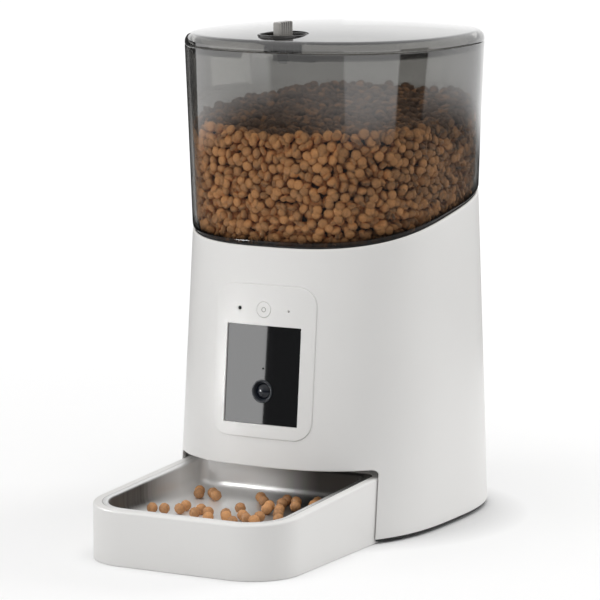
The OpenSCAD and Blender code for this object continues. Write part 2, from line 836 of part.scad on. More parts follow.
module lens_ring() {
    color("#1d2229") at_lens() rotate_extrude()
        polygon([[5.6, -frame_back + pane_back], [lens_r, -frame_back + pane_back], [lens_r, 0.3],
                 [lens_r - 0.5, 0.8], [lens_r - 1.1, 0.8], [5.6, -0.9]]);
}

module lens_glass() {
    color("#0c1118") at_lens() intersection() {
        rod(5.5, -3.4, 2);
        translate([0, 0, -9.2]) sphere(r = 9.4);
    }
}

module camera_board() {
    color("#1f5130") on_front(window_z) difference() {
        translate([0, 0, -frame_back - board_t]) linear_extrude(board_t)
            plate(window_w + 2 * frame_wall, window_h + 2 * frame_wall, 2);
        for (x = [-1, 1], y = [-1, 1])
            translate([x * (window_w / 2 + 0.5), y * (window_h / 2 + 0.5), 0])
                rod(1.1, -frame_back - 2 * board_t, 0);
    }
    color("#101010") at_lens() {
        rod(5.3, pane_back - frame_back, -3.7);
        translate([0, 0, pane_back - frame_back - board_t - sensor_h]) linear_extrude(sensor_h)
            plate(sensor_w, sensor_w, 1);
    }
}

module panel_board() {
    color("#1f5130") on_front(button_z) translate([0, 0, -button_board - board_t]) linear_extrude(board_t)
        plate(2 * board_half, strip_h, 1.5);
    color("#ddd8c8") on_front(button_z) translate([0, 0, -button_board - board_t - plug_size.z])
        linear_extrude(plug_size.z) plate(plug_size.x, plug_size.y, 0.5);
}

module button_switch() {
    top = button_board - switch_h;
    color("#303030") on_front(button_z) {
        translate([0, 0, -button_board]) linear_extrude(switch_h) plate(switch_w, switch_w, 0.5);
        rod(plunger_r, -top - 0.2, -top + plunger_h);
    }
}

module microphone() {
    color("silver") on_front(button_z) translate([dot_x, 0, 0]) difference() {
        rod(mic_r, -button_board, -button_board / 2);
        rod(mic_r / 3, -2 * button_board / 3, 0);
    }
}

module status_light() {
    color("#26313a") on_front(button_z) translate([-dot_x, 0, 0]) {
        rod(light_r - fit, -button_board / 2 - over, fit);
        rod(post_r, -button_board, -button_board / 2);
    }
}

module feed_button() {
    stem_end = button_board - switch_h - plunger_h - button_travel - fit / 2;
    color("#f2f1ef") on_front(button_z) {
        rod(button_r, -body_wall - 0.4, panel_proud - 0.1);
        rotate_extrude() polygon([[0, panel_proud - 0.2], [button_r, panel_proud - 0.2],
                                  [button_r - 0.4, panel_proud + 0.3], [0, panel_proud + 0.1]]);
        rod(button_r + 1.2, -body_wall - 1.4, -body_wall - 0.3);
        rod(2, -stem_end, -body_wall - 1);
    }
}

// Metering drive
module metering_drum() {
    color("#d8d6d2") translate([0, drum_y, 0]) difference() {
        union() {
            rod(drum_r + drum_wall, drum_floor, drum_top);
            rod(drum_r + drum_flange, drum_top - floor_t, drum_top);
        }
        rod(drum_r, drum_floor + floor_t, drum_top + over);
        rod(drum_r + baffle_lap + fit, drum_top - baffle_t, drum_top + over);
        rod(shaft_r + 3 + 0.05, drum_floor - over, drum_top);
        block([-outlet_w / 2, outlet_front - drum_y, drum_floor - over],
              [outlet_w / 2, outlet_back - drum_y, drum_floor + floor_t + over]);
        for (t = [45 : 90 : 315])
            rotate(t) translate([screw_ring, 0, 0])
                rod(shank_r + fit, drum_top - 2 * floor_t, drum_top + over);
        for (p = case_lugs)
            translate([p.x, p.y - drum_y, 0]) rod(pilot_r, drum_floor - over, drum_floor + floor_t - 0.8);
    }
}

module drum_screws() {
    color("silver") for (t = [45 : 90 : 315])
        translate([0, drum_y, 0]) rotate(t) translate([screw_ring, 0, 0])
            screw(drum_top - floor_t, floor_t + flange_t - 0.6);
}

module outlet_baffle() {
    color("#e4e2de") translate([0, drum_y, drum_top - baffle_t]) linear_extrude(baffle_t) difference() {
        intersection() {
            circle(drum_r + baffle_lap);
            polygon([[0, 0], [-2 * drum_r, -0.9 * drum_r], [-2 * drum_r, -3 * drum_r],
                     [2 * drum_r, -3 * drum_r], [2 * drum_r, -0.9 * drum_r]]);
        }
        circle(hub_r + 3);
    }
}

module shaft_bush() {
    color("goldenrod") translate([0, drum_y, 0]) difference() {
        union() {
            rod(shaft_r + 3, drum_floor - 3, drum_floor + floor_t);
            rod(shaft_r + 5, drum_floor - 3, drum_floor);
        }
        rod(shaft_r + run, drum_floor - 4, drum_floor + floor_t + over);
    }
}

module gear_case() {
    color("#e6e4df") difference() {
        union() {
            translate([0, 0, case_z]) linear_extrude(case_h) gear_space(case_wall);
            for (p = case_lugs) translate(p) rod(lug_r, drum_floor - lug_h, drum_floor);
            translate(output_xy) rod(shaft_r + 4, case_z - 4, case_z + over);
        }
        difference() {
            translate([0, 0, case_z + case_wall]) linear_extrude(case_h) gear_space(0);
            translate(idler_xy) rod(idler_pin_r + 3, case_z, wheel_z - 0.3);
            translate(output_xy) rod(shaft_r + 3, case_z, case_z + 8);
        }
        translate(output_xy) rod(shaft_r + run, case_z - 2, drum_floor + over);
        translate(idler_xy) rod(idler_pin_r + 0.02, case_z + 0.6, drum_floor);
        translate(pinion_xy) rod(motor_nose_r + fit, case_z - over, case_z + case_wall + over);
        for (p = case_lugs) translate(p) rod(shank_r + fit, drum_floor - lug_h - over, drum_floor + over);
    }
}

module case_screws() {
    color("silver") for (p = case_lugs)
        translate(p) screw(drum_floor - lug_h, lug_h + floor_t - 1.2);
}

module idler_pin() {
    color("silver") translate(idler_xy) rod(idler_pin_r, case_z + 0.6, drum_floor - 0.3);
}

module drive_motor() {
    color("#a9abad") translate(pinion_xy) difference() {
        union() {
            rod(motor_r, case_z - motor_l, case_z);
            rod(motor_nose_r, case_z - over, case_z + case_wall);
            rod(motor_r - 4, case_z - motor_l - 2, case_z);
        }
        rod(motor_shaft_r + run, case_z - motor_l / 2, case_z + case_wall + over);
    }
}

module food_chute() {
    inner = [[outlet_front, drum_floor + over], [outlet_back, drum_floor + over],
             [outlet_back, drum_floor - chute_heel], [mouth_back, bay_roof + chute_toe],
             [mouth_back, bay_roof - over], [mouth_front, bay_roof - over],
             [mouth_front, bay_roof + chute_chin], [outlet_front, drum_floor - chute_brow]];
    slope = chute_wall * 1.35;
    front = outlet_front - chute_wall;
    back = outlet_back + chute_wall;
    low_front = mouth_front - chute_wall;
    low_back = mouth_back + chute_wall;
    outer = [[front, drum_floor], [back, drum_floor],
             [back, drum_floor - chute_heel - 0.6], [low_back, bay_roof + chute_toe - slope / 2],
             [low_back, bay_roof], [low_front, bay_roof],
             [low_front, bay_roof + chute_chin + slope / 2], [front, drum_floor - chute_brow + 0.6]];
    half = outlet_w / 2 + chute_flange;
    color("#d8d6d2") difference() {
        union() {
            rotate([90, 0, 90]) linear_extrude(outlet_w + 2 * chute_wall, center = true) polygon(outer);
            block([-half, outlet_front - 5, drum_floor - 2], [half, outlet_back, drum_floor]);
        }
        rotate([90, 0, 90]) linear_extrude(outlet_w, center = true) polygon(inner);
    }
}

module rotor_shaft() {
    color("silver") translate(output_xy) difference() {
        rod(shaft_r, case_z - 1.6, drum_top + rotor_neck - 1);
        for (z = [[output_z, output_z + gear_t], [drum_floor + floor_t + rotor_gap, drum_top + rotor_neck]])
            block([shaft_r - 1, -shaft_r - over, z[0]], [shaft_r + over, shaft_r + over, z[1]]);
    }
}

// Bore for the flatted shaft
module flat_bore(z0, z1) {
    difference() {
        rod(shaft_r + 0.05, z0, z1);
        block([shaft_r - 0.95, -shaft_r - over, z0 - over], [shaft_r + over, shaft_r + over, z1 + over]);
    }
}

module rotor_hub() {
    color("#efe9dc") translate(output_xy) difference() {
        union() {
            rod(hub_r, drum_floor + floor_t + rotor_gap, drum_top - baffle_t - rotor_gap);
            rod(hub_r - 3, drum_floor + floor_t + rotor_gap, drum_top + rotor_neck);
        }
        flat_bore(drum_floor, drum_top + rotor_neck - 0.8);
        rod(stir_screw_r - 0.3, drum_top, drum_top + rotor_neck + over);
    }
}

module rotor_vanes() {
    color("#b9c2c6") translate(output_xy) difference() {
        union() {
            rod(hub_r + vane_root, drum_floor + floor_t + vane_gap, drum_top - baffle_t - vane_gap);
            for (i = [0 : vane_n - 1])
                rotate(360 * (i + 0.5) / vane_n)
                    block([hub_r + vane_root / 2, -vane_t / 2, drum_floor + floor_t + vane_gap],
                          [drum_r - vane_gap, vane_t / 2, drum_top - baffle_t - vane_gap]);
        }
        rod(hub_r + 0.05, drum_floor, drum_top);
    }
}

module agitator() {
    z = drum_top + rotor_neck;
    color("#e4e2de") translate(output_xy) difference() {
        union() {
            rod(hub_r - 4, z, z + stir_h);
            for (s = [0, 180])
                rotate(s) {
                    translate([0, 0, z + stir_h / 2]) rotate([0, 90, 0])
                        cylinder(r = stir_arm_r, h = stir_reach);
                    translate([stir_reach, 0, 0]) rod(finger_r, z + 1.2, z + finger_h);
                }
        }
        rod(stir_screw_r, z - over, z + stir_h);
        rod(stir_head_r, z + stir_h / 2, z + stir_h + over);
    }
}

module output_gear() {
    color("#f0ead8") translate(output_xy) difference() {
        translate([0, 0, output_z]) linear_extrude(gear_t) rotate(idler_turn) spur(output_n);
        flat_bore(output_z - over, output_z + gear_t + over);
        for (t = [0 : 60 : 300])
            rotate(t) translate([(shaft_r + gear_m * output_n / 2) / 2, 0, 0])
                rod(gear_m * output_n / 10, output_z - over, output_z + gear_t + over);
    }
}

module idler_gear() {
    color("#f0ead8") translate(idler_xy) difference() {
        union() {
            translate([0, 0, output_z - 0.5]) linear_extrude(gear_t + 1)
                rotate(idler_turn + 180 + 180 / pinion_n) spur(pinion_n);
            translate([0, 0, wheel_z]) linear_extrude(gear_t) rotate(pinion_turn) spur(wheel_n);
            rod(gear_m * pinion_n / 2 - 1.25 * gear_m, wheel_z, output_z);
        }
        rod(idler_pin_r + run, wheel_z - over, output_z + gear_t + 2);
    }
}

module motor_pinion() {
    color("goldenrod") translate(pinion_xy) difference() {
        translate([0, 0, wheel_z - 0.5]) linear_extrude(gear_t + 1)
            rotate(pinion_turn + 180 + 180 / pinion_n) spur(pinion_n);
        rod(motor_shaft_r + 0.02, wheel_z - over, wheel_z + gear_t + 2);
    }
}

module motor_shaft() {
    color("silver") translate(pinion_xy)
        rod(motor_shaft_r, case_z - motor_l / 2 + 0.5, wheel_z + gear_t + 0.5);
}

// Boards, speaker, inlet and battery fittings
module main_board() {
    w = main_board_x[1] - main_board_x[0];
    l = main_board_y[1] - main_board_y[0];
    z = main_board_z + board_t;
    color("#1f5130") translate([main_board_x[0] + w / 2, main_board_y[0] + l / 2, 0]) difference() {
        union() {
            translate([0, 0, main_board_z]) linear_extrude(board_t) plate(w, l, 2);
            translate([post_in + cap_r - w / 2, l / 2 - radio_size.y - cap_r, z]) cube(radio_size);
            translate([-header_size.x / 2, -l / 2 + cap_r, z]) cube(header_size);
            for (k = [0, 1]) translate([w / 2 - 2 * cap_r, k * 2.6 * cap_r, 0]) rod(cap_r, z, z + cap_h);
            translate([-w / 4, 0, z]) linear_extrude(chip_t) plate(chip_w, chip_w, 0.5);
        }
        for (x = [post_in - w / 2, w / 2 - post_in], y = [post_in - l / 2, l / 2 - post_in])
            translate([x, y, 0]) rod(1.2, main_board_z - over, z + over);
    }
}

module speaker() {
    color("#2b2b2d") translate(speaker_xy) difference() {
        union() {
            rod(speaker_r, plate_top, plate_top + magnet_h);
            rod(speaker_r - 4, plate_top + over, plate_top + 2 * magnet_h);
            rod(speaker_r / 2, plate_top + over, plate_top + 3 * magnet_h);
        }
        translate([0, 0, plate_top - over])
            cylinder(r1 = speaker_r - 2, r2 = speaker_r / 3, h = cone_h + over);
    }
}

module power_inlet() {
    back_slope = (body_back - waist_back) / (seam_at(waist_back) - foot_z);
    face = body_back - (inlet_z - foot_z) * back_slope - body_wall;
    color("#1f5130") block([-9, inlet_y0 - 4, inlet_board_z], [9, face - 1.5, inlet_board_z + board_t]);
    color("silver") translate([0, face + 0.8, inlet_z]) rotate([90, 0, 0]) difference() {
        linear_extrude(inlet_l) plate(inlet_w, inlet_h, inlet_h / 2 - 0.01);
        translate([0, 0, -over]) linear_extrude(over + 0.75 * inlet_l)
            plate(inlet_w - 2 * inlet_wall, inlet_h - 2 * inlet_wall, inlet_h / 2 - inlet_wall - 0.01);
    }
    color("#202020")
        block([-0.35 * inlet_w, face - 0.72 * inlet_l, inlet_z - 0.35],
              [0.35 * inlet_w, face, inlet_z + 0.35]);
}

module battery_contacts() {
    color("silver") for (i = [0 : cell_n - 1], end = [0, 1])
        translate([(i - (cell_n - 1) / 2) * cell_d, 0, 0]) {
            y = end == 0 ? box_front : box_back;
            s = end == 0 ? 1 : -1;
            translate([0, y + s * 0.4, plate_z + door_t + cell_d / 2 + 1]) rotate([90, 0, 0]) {
                linear_extrude(contact_t, center = true) plate(contact_w, contact_h, 1);
            }
            translate([0, y, plate_z + door_t + cell_d / 2 + 1]) rotate([-s * 90, 0, 0])
                cylinder(r1 = spring_r, r2 = 0.6 * spring_r, h = end == 0 ? spring_h : spring_h / 2);
        }
}

module battery_door() {
    color("#1c1c1e") difference() {
        union() {
            block([fit - box_half, box_front + fit, plate_z], [box_half - fit, hinge_y, plate_z + door_t]);
            translate([0, hinge_y, hinge_z]) rotate([0, 90, 0]) {
                cylinder(r = hinge_r, h = 2 * (box_half - fit), center = true);
                cylinder(r = hinge_pin_r, h = 2 * (box_half + hinge_pin_l - fit), center = true);
            }
        }
        translate([0, box_front + 8, plate_z]) linear_extrude(2 * (door_t - 1), center = true)
            plate(22, 8, 3.9);
    }
}

// Tray and bowl
module bowl_tray() {
    deep = 2 * tray_back_h;
    collar = tray_rim + bowl_flange - bowl_lap;
    color("white") difference() {
        union() {
            difference() {
                linear_extrude(deep) polygon(tray_outline(0));
                translate([0, 0, -over]) linear_extrude(deep) polygon(tray_outline(tray_wall));
            }
            difference() {
                translate([0, 0, tray_h / 2]) linear_extrude(deep) polygon(tray_outline(tray_wall / 2));
                tray_under(-rim_t - bowl_seat);
            }
            difference() {
                translate([0, 0, tray_h / 3]) linear_extrude(deep) polygon(tray_outline(collar - collar_t));
                translate([0, 0, -over]) linear_extrude(3 * deep) polygon(tray_outline(collar));
            }
        }
        tray_over();
        skin([tray_ring(tray_rim, -bowl_seat), tray_ring(tray_rim, over)]);
        translate([0, 0, -over]) linear_extrude(3 * deep) polygon(tray_outline(collar));
    }
}

// Room above the tray's sloping rim, and room that starts dz above it and goes down
module tray_over() {
    translate([0, -tray_front, tray_h]) rotate([tray_tilt, 0, 0])
        block([-tray_w, -tray_len, 0], [tray_w, 2 * tray_len, 3 * tray_h]);
}

module tray_under(dz) {
    translate([0, -tray_front, tray_h + dz]) rotate([tray_tilt, 0, 0])
        block([-tray_w, -tray_len, -3 * tray_h], [tray_w, 2 * tray_len, 0]);
}

module steel_bowl() {
    o = tray_rim + bowl_flange;
    top = -bowl_seat;
    low = tray_h - bowl_h;
    inside = bowl_bend - bowl_t;
    color("#b8b9bb") skin(concat(
        [for (t = [0 : bend_step : 90])
            bowl_ring(o + bowl_bend * (1 - sin(t)), low + bowl_bend * (1 - cos(t)))],
        [
            tray_ring(o, top),
            tray_ring(tray_rim + fit, top),
            tray_ring(tray_rim + fit, top + bowl_t),
            tray_ring(o + bowl_t, top + bowl_t)
        ],
        [for (t = [90 : -bend_step : 0])
            bowl_ring(o + bowl_bend - inside * sin(t), low + bowl_bend - inside * cos(t))]
    ));
}

function bowl_ring(o, z) = lift(tray_outline(o), z);

module placed() {
    translate([0, shift_y, 0]) children();
}

placed() main_housing();
placed() base_plate();
placed() base_screws();
placed() rubber_feet();
placed() bowl_bay();
placed() hopper();
placed() hopper_gasket();
placed() food_funnel();
placed() metering_drum();
placed() drum_screws();
placed() outlet_baffle();
placed() shaft_bush();
placed() gear_case();
placed() case_screws();
placed() idler_pin();
placed() drive_motor();
placed() food_chute();
placed() front_panel();
placed() camera_window();
placed() lens_ring();
placed() lens_glass();
placed() camera_board();
placed() panel_board();
placed() button_switch();
placed() microphone();
placed() status_light();
placed() main_board();
placed() speaker();
placed() power_inlet();
placed() battery_contacts();
placed() lid();
placed() lid_seal();
placed() latch_cup();
placed() latch_housing();
placed() lid_knob();
placed() latch_cam();
placed() cam_screw();
placed() feed_button();
placed() bowl_tray();
placed() steel_bowl();
placed() rotor_hub();
placed() rotor_vanes();
placed() agitator();
placed() rotor_shaft();
placed() output_gear();
placed() idler_gear();
placed() motor_pinion();
placed() motor_shaft();
placed() battery_door();
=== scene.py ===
# %% [markdown]
# # A pet feeder with a camera
# The feeder is a white moulded body with a smoky clear food jar on top, a latched lid, a camera panel and a
# tray with a steel bowl. Its construction comes ready from a CAD model, which is loaded as a fixed frame.
# This lesson builds the surfaces that the eye meets on top of it, with numpy grids, and gives everything a
# finish.

# %% Load the fixed frame
import json
from math import atan, cos, pi, radians, sin, tan

import bmesh
import bpy
import numpy as np
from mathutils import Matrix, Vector


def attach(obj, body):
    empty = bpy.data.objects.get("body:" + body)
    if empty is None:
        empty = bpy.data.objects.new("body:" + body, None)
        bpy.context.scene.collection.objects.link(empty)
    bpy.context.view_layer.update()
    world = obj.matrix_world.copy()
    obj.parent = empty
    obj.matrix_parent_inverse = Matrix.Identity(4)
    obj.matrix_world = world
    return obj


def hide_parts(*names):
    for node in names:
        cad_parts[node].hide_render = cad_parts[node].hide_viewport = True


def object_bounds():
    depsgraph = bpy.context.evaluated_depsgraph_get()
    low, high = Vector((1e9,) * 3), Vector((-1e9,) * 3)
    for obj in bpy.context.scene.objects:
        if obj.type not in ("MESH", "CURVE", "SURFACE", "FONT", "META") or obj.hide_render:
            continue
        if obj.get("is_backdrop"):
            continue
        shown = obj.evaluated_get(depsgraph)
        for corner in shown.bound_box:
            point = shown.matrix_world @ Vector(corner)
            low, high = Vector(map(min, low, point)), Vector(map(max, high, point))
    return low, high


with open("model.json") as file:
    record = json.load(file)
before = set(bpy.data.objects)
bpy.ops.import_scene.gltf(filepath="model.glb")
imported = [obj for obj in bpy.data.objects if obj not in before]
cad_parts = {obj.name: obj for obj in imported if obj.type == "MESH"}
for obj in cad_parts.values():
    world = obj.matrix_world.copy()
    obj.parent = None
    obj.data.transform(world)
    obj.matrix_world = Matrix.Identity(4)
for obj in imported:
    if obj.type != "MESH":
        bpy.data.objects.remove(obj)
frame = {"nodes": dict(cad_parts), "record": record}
cad_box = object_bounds()
nodes = frame["nodes"]
print("CAD nodes:", len(nodes), "size in mm:", [round(1000 * s) for s in cad_box[1] - cad_box[0]])

# %% [markdown]
# ## The camera
# The photograph was taken from a distance with a long lens, from the right of the front and a little above.
# A wide lens close by would give the same framing, but the jar's sides would then splay. The distance,
# height and lens were solved from the feeder's outlines, in millimetres about the body's axis, so the
# camera is placed by them.

# %% Camera at the photograph's view
SHIFT = 53.0  # the body's axis stands this many mm behind the middle of the plan
AROUND, DOWN = radians(28.3), radians(8.74)  # the view's turn to the right and its slope
AWAY, EYE = 2422.5, 524.2  # mm from the axis and above the floor
FRAME_PX, FOCAL_PX, SENSOR = 600, 3541.6, 36.0  # frame and focal length in pixels, sensor in mm
OFF_X, OFF_Y = -35.0, -5.3  # pixels from the lens's axis to the frame's middle


def place(points):
    """Millimetres about the body's axis to metres in the frame: y moves back by SHIFT, then all is divided
    by a thousand."""
    return (np.asarray(points, float) + (0.0, SHIFT, 0.0)) * 0.001


def show(name, data):
    """A new object with this data, put into the scene."""
    made = bpy.data.objects.new(name, data)
    bpy.context.scene.collection.objects.link(made)
    return made


lens = bpy.data.cameras.new("photograph")
lens.lens = FOCAL_PX / FRAME_PX * SENSOR
lens.sensor_width = SENSOR
lens.shift_x, lens.shift_y = OFF_X / FRAME_PX, OFF_Y / FRAME_PX
lens.clip_end = 50.0
camera = show("photograph", lens)
camera.location = place([AWAY * sin(AROUND), -AWAY * cos(AROUND), EYE])
camera.rotation_euler = (pi / 2 - DOWN, 0.0, AROUND)
bpy.context.scene.camera = camera
print("lens", round(lens.lens), "mm, from", [round(c, 2) for c in camera.location], "m")

# %% [markdown]
# ## Colours and nodes
# A colour picked from a screen is sRGB, while shaders add light in linear steps, so one function turns hex
# codes into linear values. Node trees get long when each node takes five lines, so one small function adds
# a node, sets its properties and links its inputs.

# %% Colour and node helpers
bpy.context.scene.view_settings.view_transform = "Standard"
WHITE = (1.0, 1.0, 1.0, 1.0)


def linear(code):
    """sRGB hex to linear RGBA: each channel as a share of 255, with the sRGB curve undone."""
    share = np.array([int(code[i:i + 2], 16) for i in (1, 3, 5)]) / 255
    return (*np.where(share <= 0.04045, share / 12.92, ((share + 0.055) / 1.055) ** 2.4).tolist(), 1.0)


def add(tree, kind, sockets=None, **settings):
    """Adds a shader node: settings are its own properties, and sockets are inputs with a value, or with the
    output or the node that feeds them. A node feeds from its first output in use."""
    made = tree.nodes.new("ShaderNode" + kind)
    for name, value in settings.items():
        setattr(made, name, value)
    for name, value in (sockets or {}).items():
        if isinstance(value, bpy.types.Node):
            value = next(output for output in value.outputs if output.enabled)
        if isinstance(value, bpy.types.NodeSocket):
            tree.links.new(value, made.inputs[name])
        else:
            made.inputs[name].default_value = value
    return made


def per_mm(size):
    """Texture scale at which one cell of a pattern on object coordinates measures size millimetres."""
    return 1000.0 / size


def finish(name):
    """An empty material with its node tree and the object coordinates that its patterns read."""
    material = bpy.data.materials.new(name)
    material.use_nodes = True
    material.node_tree.nodes.clear()
    return material, material.node_tree, add(material.node_tree, "TexCoord").outputs["Object"]


print("white ABS in linear light:", [round(c, 3) for c in linear("#E9E8E6")[:3]])

# %% [markdown]
# ## The studio
# The photograph has a white ground that fades into a white background, and soft light from all round with
# more from above and from the right. A world of plain white gives even light but also flat shading, so matt
# surfaces get only part of it and three large soft lamps give the rest. The camera, mirrors and clear
# pieces see it white. The floor's own glow grows with the distance, so that the shadow shows near the
# feeder and the far floor stays white.

# %% World
ROOM = 0.52  # share of the white room's light that matt surfaces get


def white_room(tree):
    """One for rays that show the room itself (camera, mirror or clear piece), and zero for others."""
    path = add(tree, "LightPath")
    shown = add(tree, "Math", {0: path.outputs["Is Camera Ray"], 1: path.outputs["Is Glossy Ray"]},
                operation="MAXIMUM")
    return add(tree, "Math", {0: shown, 1: path.outputs["Is Transmission Ray"]}, operation="MAXIMUM")


world = bpy.data.worlds.new("white studio")
bpy.context.scene.world = world
world.use_nodes = True
tree = world.node_tree
tree.nodes.clear()
level = add(tree, "MapRange", {0: white_room(tree), 3: ROOM, 4: 1.0})
sky = add(tree, "Background", {"Color": WHITE, "Strength": level})
add(tree, "OutputWorld", {"Surface": sky})
print("the room's light on matt surfaces:", ROOM)

# %% Floor
SIDE, SINK = 6.0, 0.0002  # half the floor's side and its depth under the feet, in metres
ground, tree, where = finish("white studio floor")
matt = add(tree, "BsdfDiffuse", {"Color": (0.75, 0.75, 0.75, 1.0)})
away = add(tree, "VectorMath", {0: where, 1: tuple(place((0.0, 0.0, 0.0)))}, operation="DISTANCE")
near = add(tree, "MapRange", {0: away, 1: 0.104, 2: 0.136, 3: 0.0, 4: 0.2})
far = add(tree, "MapRange", {0: away, 1: 0.2, 2: 2.5, 3: 0.0, 4: 0.46})
paler = add(tree, "Math", {0: near, 1: far}, operation="ADD")
lift = add(tree, "Math", {0: white_room(tree), 1: paler}, operation="MULTIPLY")
glow = add(tree, "Emission", {"Color": WHITE, "Strength": lift})
both = add(tree, "AddShader", {0: matt, 1: glow})
add(tree, "OutputMaterial", {"Surface": both})
sheet = bpy.data.meshes.new("studio_floor")
corners = [(-SIDE, -SIDE, 0), (SIDE, -SIDE, 0), (SIDE, SIDE, 0), (-SIDE, SIDE, 0)]
sheet.from_pydata(corners, [], [(0, 1, 2, 3)])
sheet.materials.append(ground)
floor = show("studio_floor", sheet)
floor.location = (0.0, 0.0, -SINK)
floor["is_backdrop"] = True
print("floor", [round(d) for d in floor.dimensions], "m")

# %% Soft lamps
def lamp(name, spot, target, size, power):
    """A square soft lamp at spot, in metres about the frame's origin, that faces target."""
    data = bpy.data.lights.new(name, "AREA")
    data.size, data.energy = size, power
    made = show(name, data)
    made.location = spot
    made.rotation_euler = (made.location - Vector(target)).to_track_quat("Z", "Y").to_euler()
    made.visible_glossy = False
    return made


lamps = [lamp("ceiling softbox", (0.1, -0.3, 2.2), (0.0, 0.0, 0.15), 1.8, 22.0),
         lamp("right softbox", (1.4, 1.8, 0.8), (0.0, 0.0, 0.2), 1.2, 21.0),
         lamp("left softbox", (-1.5, -1.7, 0.5), (0.0, 0.0, 0.15), 1.2, 11.0)]
print("lamps:", len(lamps))

# %% [markdown]
# ## A screen for the mirrors
# The jar and the camera window show bands of light between darker ones: in a studio, lit strips and dark
# flags stand round the set, and gloss mirrors them. Here they are one bent screen about the body's axis,
# and only mirrors see it, so it neither shows nor takes light from matt surfaces. The strips fade out
# downwards, because the bands in the photograph end softly over the food. Behind the feeder the screen is
# lower, or the lid's top would mirror it. Two small cards stand close before the camera window, too low for
# the jar to mirror them: one lights the window's left half, and the other, brighter, is the glint in the
# lens. A grey flag beside the bright one keeps its mirror image off the feeder's left side.

# %% Lit strips
SOFT, FADE, DIM = 1.5, 50.0, 0.05  # half a soft side in degrees, the fade in mm, light between strips
STRIPS = ((-180, -113, 156, 1.4), (-113, -57.5, 150, 0.62), (-57.5, -3, 152, 1.25), (27, 119, 158, 1.0))


def soft_step(value, low, high):
    """Zero below low, one above high, and between them the smooth cubic 3 t^2 - 2 t^3."""
    t = np.clip((value - low) / (high - low), 0, 1)
    return t * t * (3 - 2 * t)


def strip_light(turn, z, first, last, low, strength):
    """A lit strip between two turns in degrees, with soft sides, that fades in over FADE mm above low."""
    across = soft_step(turn, first - SOFT, first + SOFT) * (1 - soft_step(turn, last - SOFT, last + SOFT))
    return strength * across * soft_step(z, low, low + FADE)


turn, z = np.meshgrid(np.linspace(-242, 118, 705), np.linspace(0, 420, 43), indexing="ij")
light = DIM + sum(strip_light(turn, z, *ends) for ends in STRIPS)
print("light on the screen:", round(float(light.min()), 2), "to", round(float(light.max()), 2))

# %% Bent screen and cards
SCREEN_R, REAR, REAR_LOW = 700.0, -227, 0.64  # radius in mm, the turn where the low part ends, its share
CARDS = [  # corners in mm and light of the window's card, the lens's card and the flag
    ([[-112, -226, 70], [-65.5, -226, 70], [-69, -226, 152], [-112, -226, 152]], 1.75),
    ([[-163, -224, 92], [-136, -254, 92], [-136, -254, 128], [-163, -224, 128]], 30.0),
    ([[-165, -223, 60], [-110, -174, 60], [-110, -174, 170], [-165, -223, 170]], 0.3)]


def stack(*parts):
    """Joins coordinates of matching shape into points."""
    return np.stack(np.broadcast_arrays(*parts), -1)


def grid_quads(rows, columns):
    """Corner numbers of a grid's cells: a point, its right neighbour, and the two above them."""
    row, column = np.meshgrid(np.arange(rows - 1), np.arange(columns - 1), indexing="ij")
    first = row * columns + column
    return np.stack([first, first + 1, first + columns + 1, first + columns], -1).reshape(-1, 4)


def paint(mesh, name, values):
    """Stores one number per point of a mesh, under the name by which a material reads it."""
    mesh.attributes.new(name, "FLOAT", "POINT").data.foreach_set("value", np.ravel(values).astype(np.float32))


top = np.where(turn < REAR, REAR_LOW * z, z)
bent = stack(SCREEN_R * np.cos(np.radians(turn)), SCREEN_R * np.sin(np.radians(turn)), top)
points = np.concatenate([bent.reshape(-1, 3), *[corners for corners, strength in CARDS]])
quads = np.concatenate([grid_quads(*turn.shape), turn.size + np.arange(4 * len(CARDS)).reshape(-1, 4)])
sheet = bpy.data.meshes.new("studio_screen")
sheet.from_pydata(place(points), [], quads)
paint(sheet, "light", np.append(light, np.repeat([strength for corners, strength in CARDS], 4)))
material, tree, where = finish("lit screen")
lit = add(tree, "Attribute", attribute_name="light").outputs["Fac"]
glow = add(tree, "Emission", {"Color": WHITE, "Strength": lit})
add(tree, "OutputMaterial", {"Surface": glow})
sheet.materials.append(material)
screen = show("studio_screen", sheet)
for kind in ("camera", "diffuse", "transmission", "volume_scatter", "shadow"):
    setattr(screen, "visible_" + kind, False)
screen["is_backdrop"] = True
print("screen cells:", len(sheet.polygons))

# %% [markdown]
# ## Moulded, turned and rubber finishes
# Most pieces are moulded plastic, rubber or plain metal. Each has one colour that wanders a little over
# centimetres, because the melt or the plating is never even, and a fine grain from the tool. One function
# builds such a finish from two close colours, a grain in millimetres and a roughness, and each material
# says what it is.

# %% One recipe for even finishes
DRIFT, FINEST = 55, 0.7  # mm over which a colour wanders, and the finest grain that shows


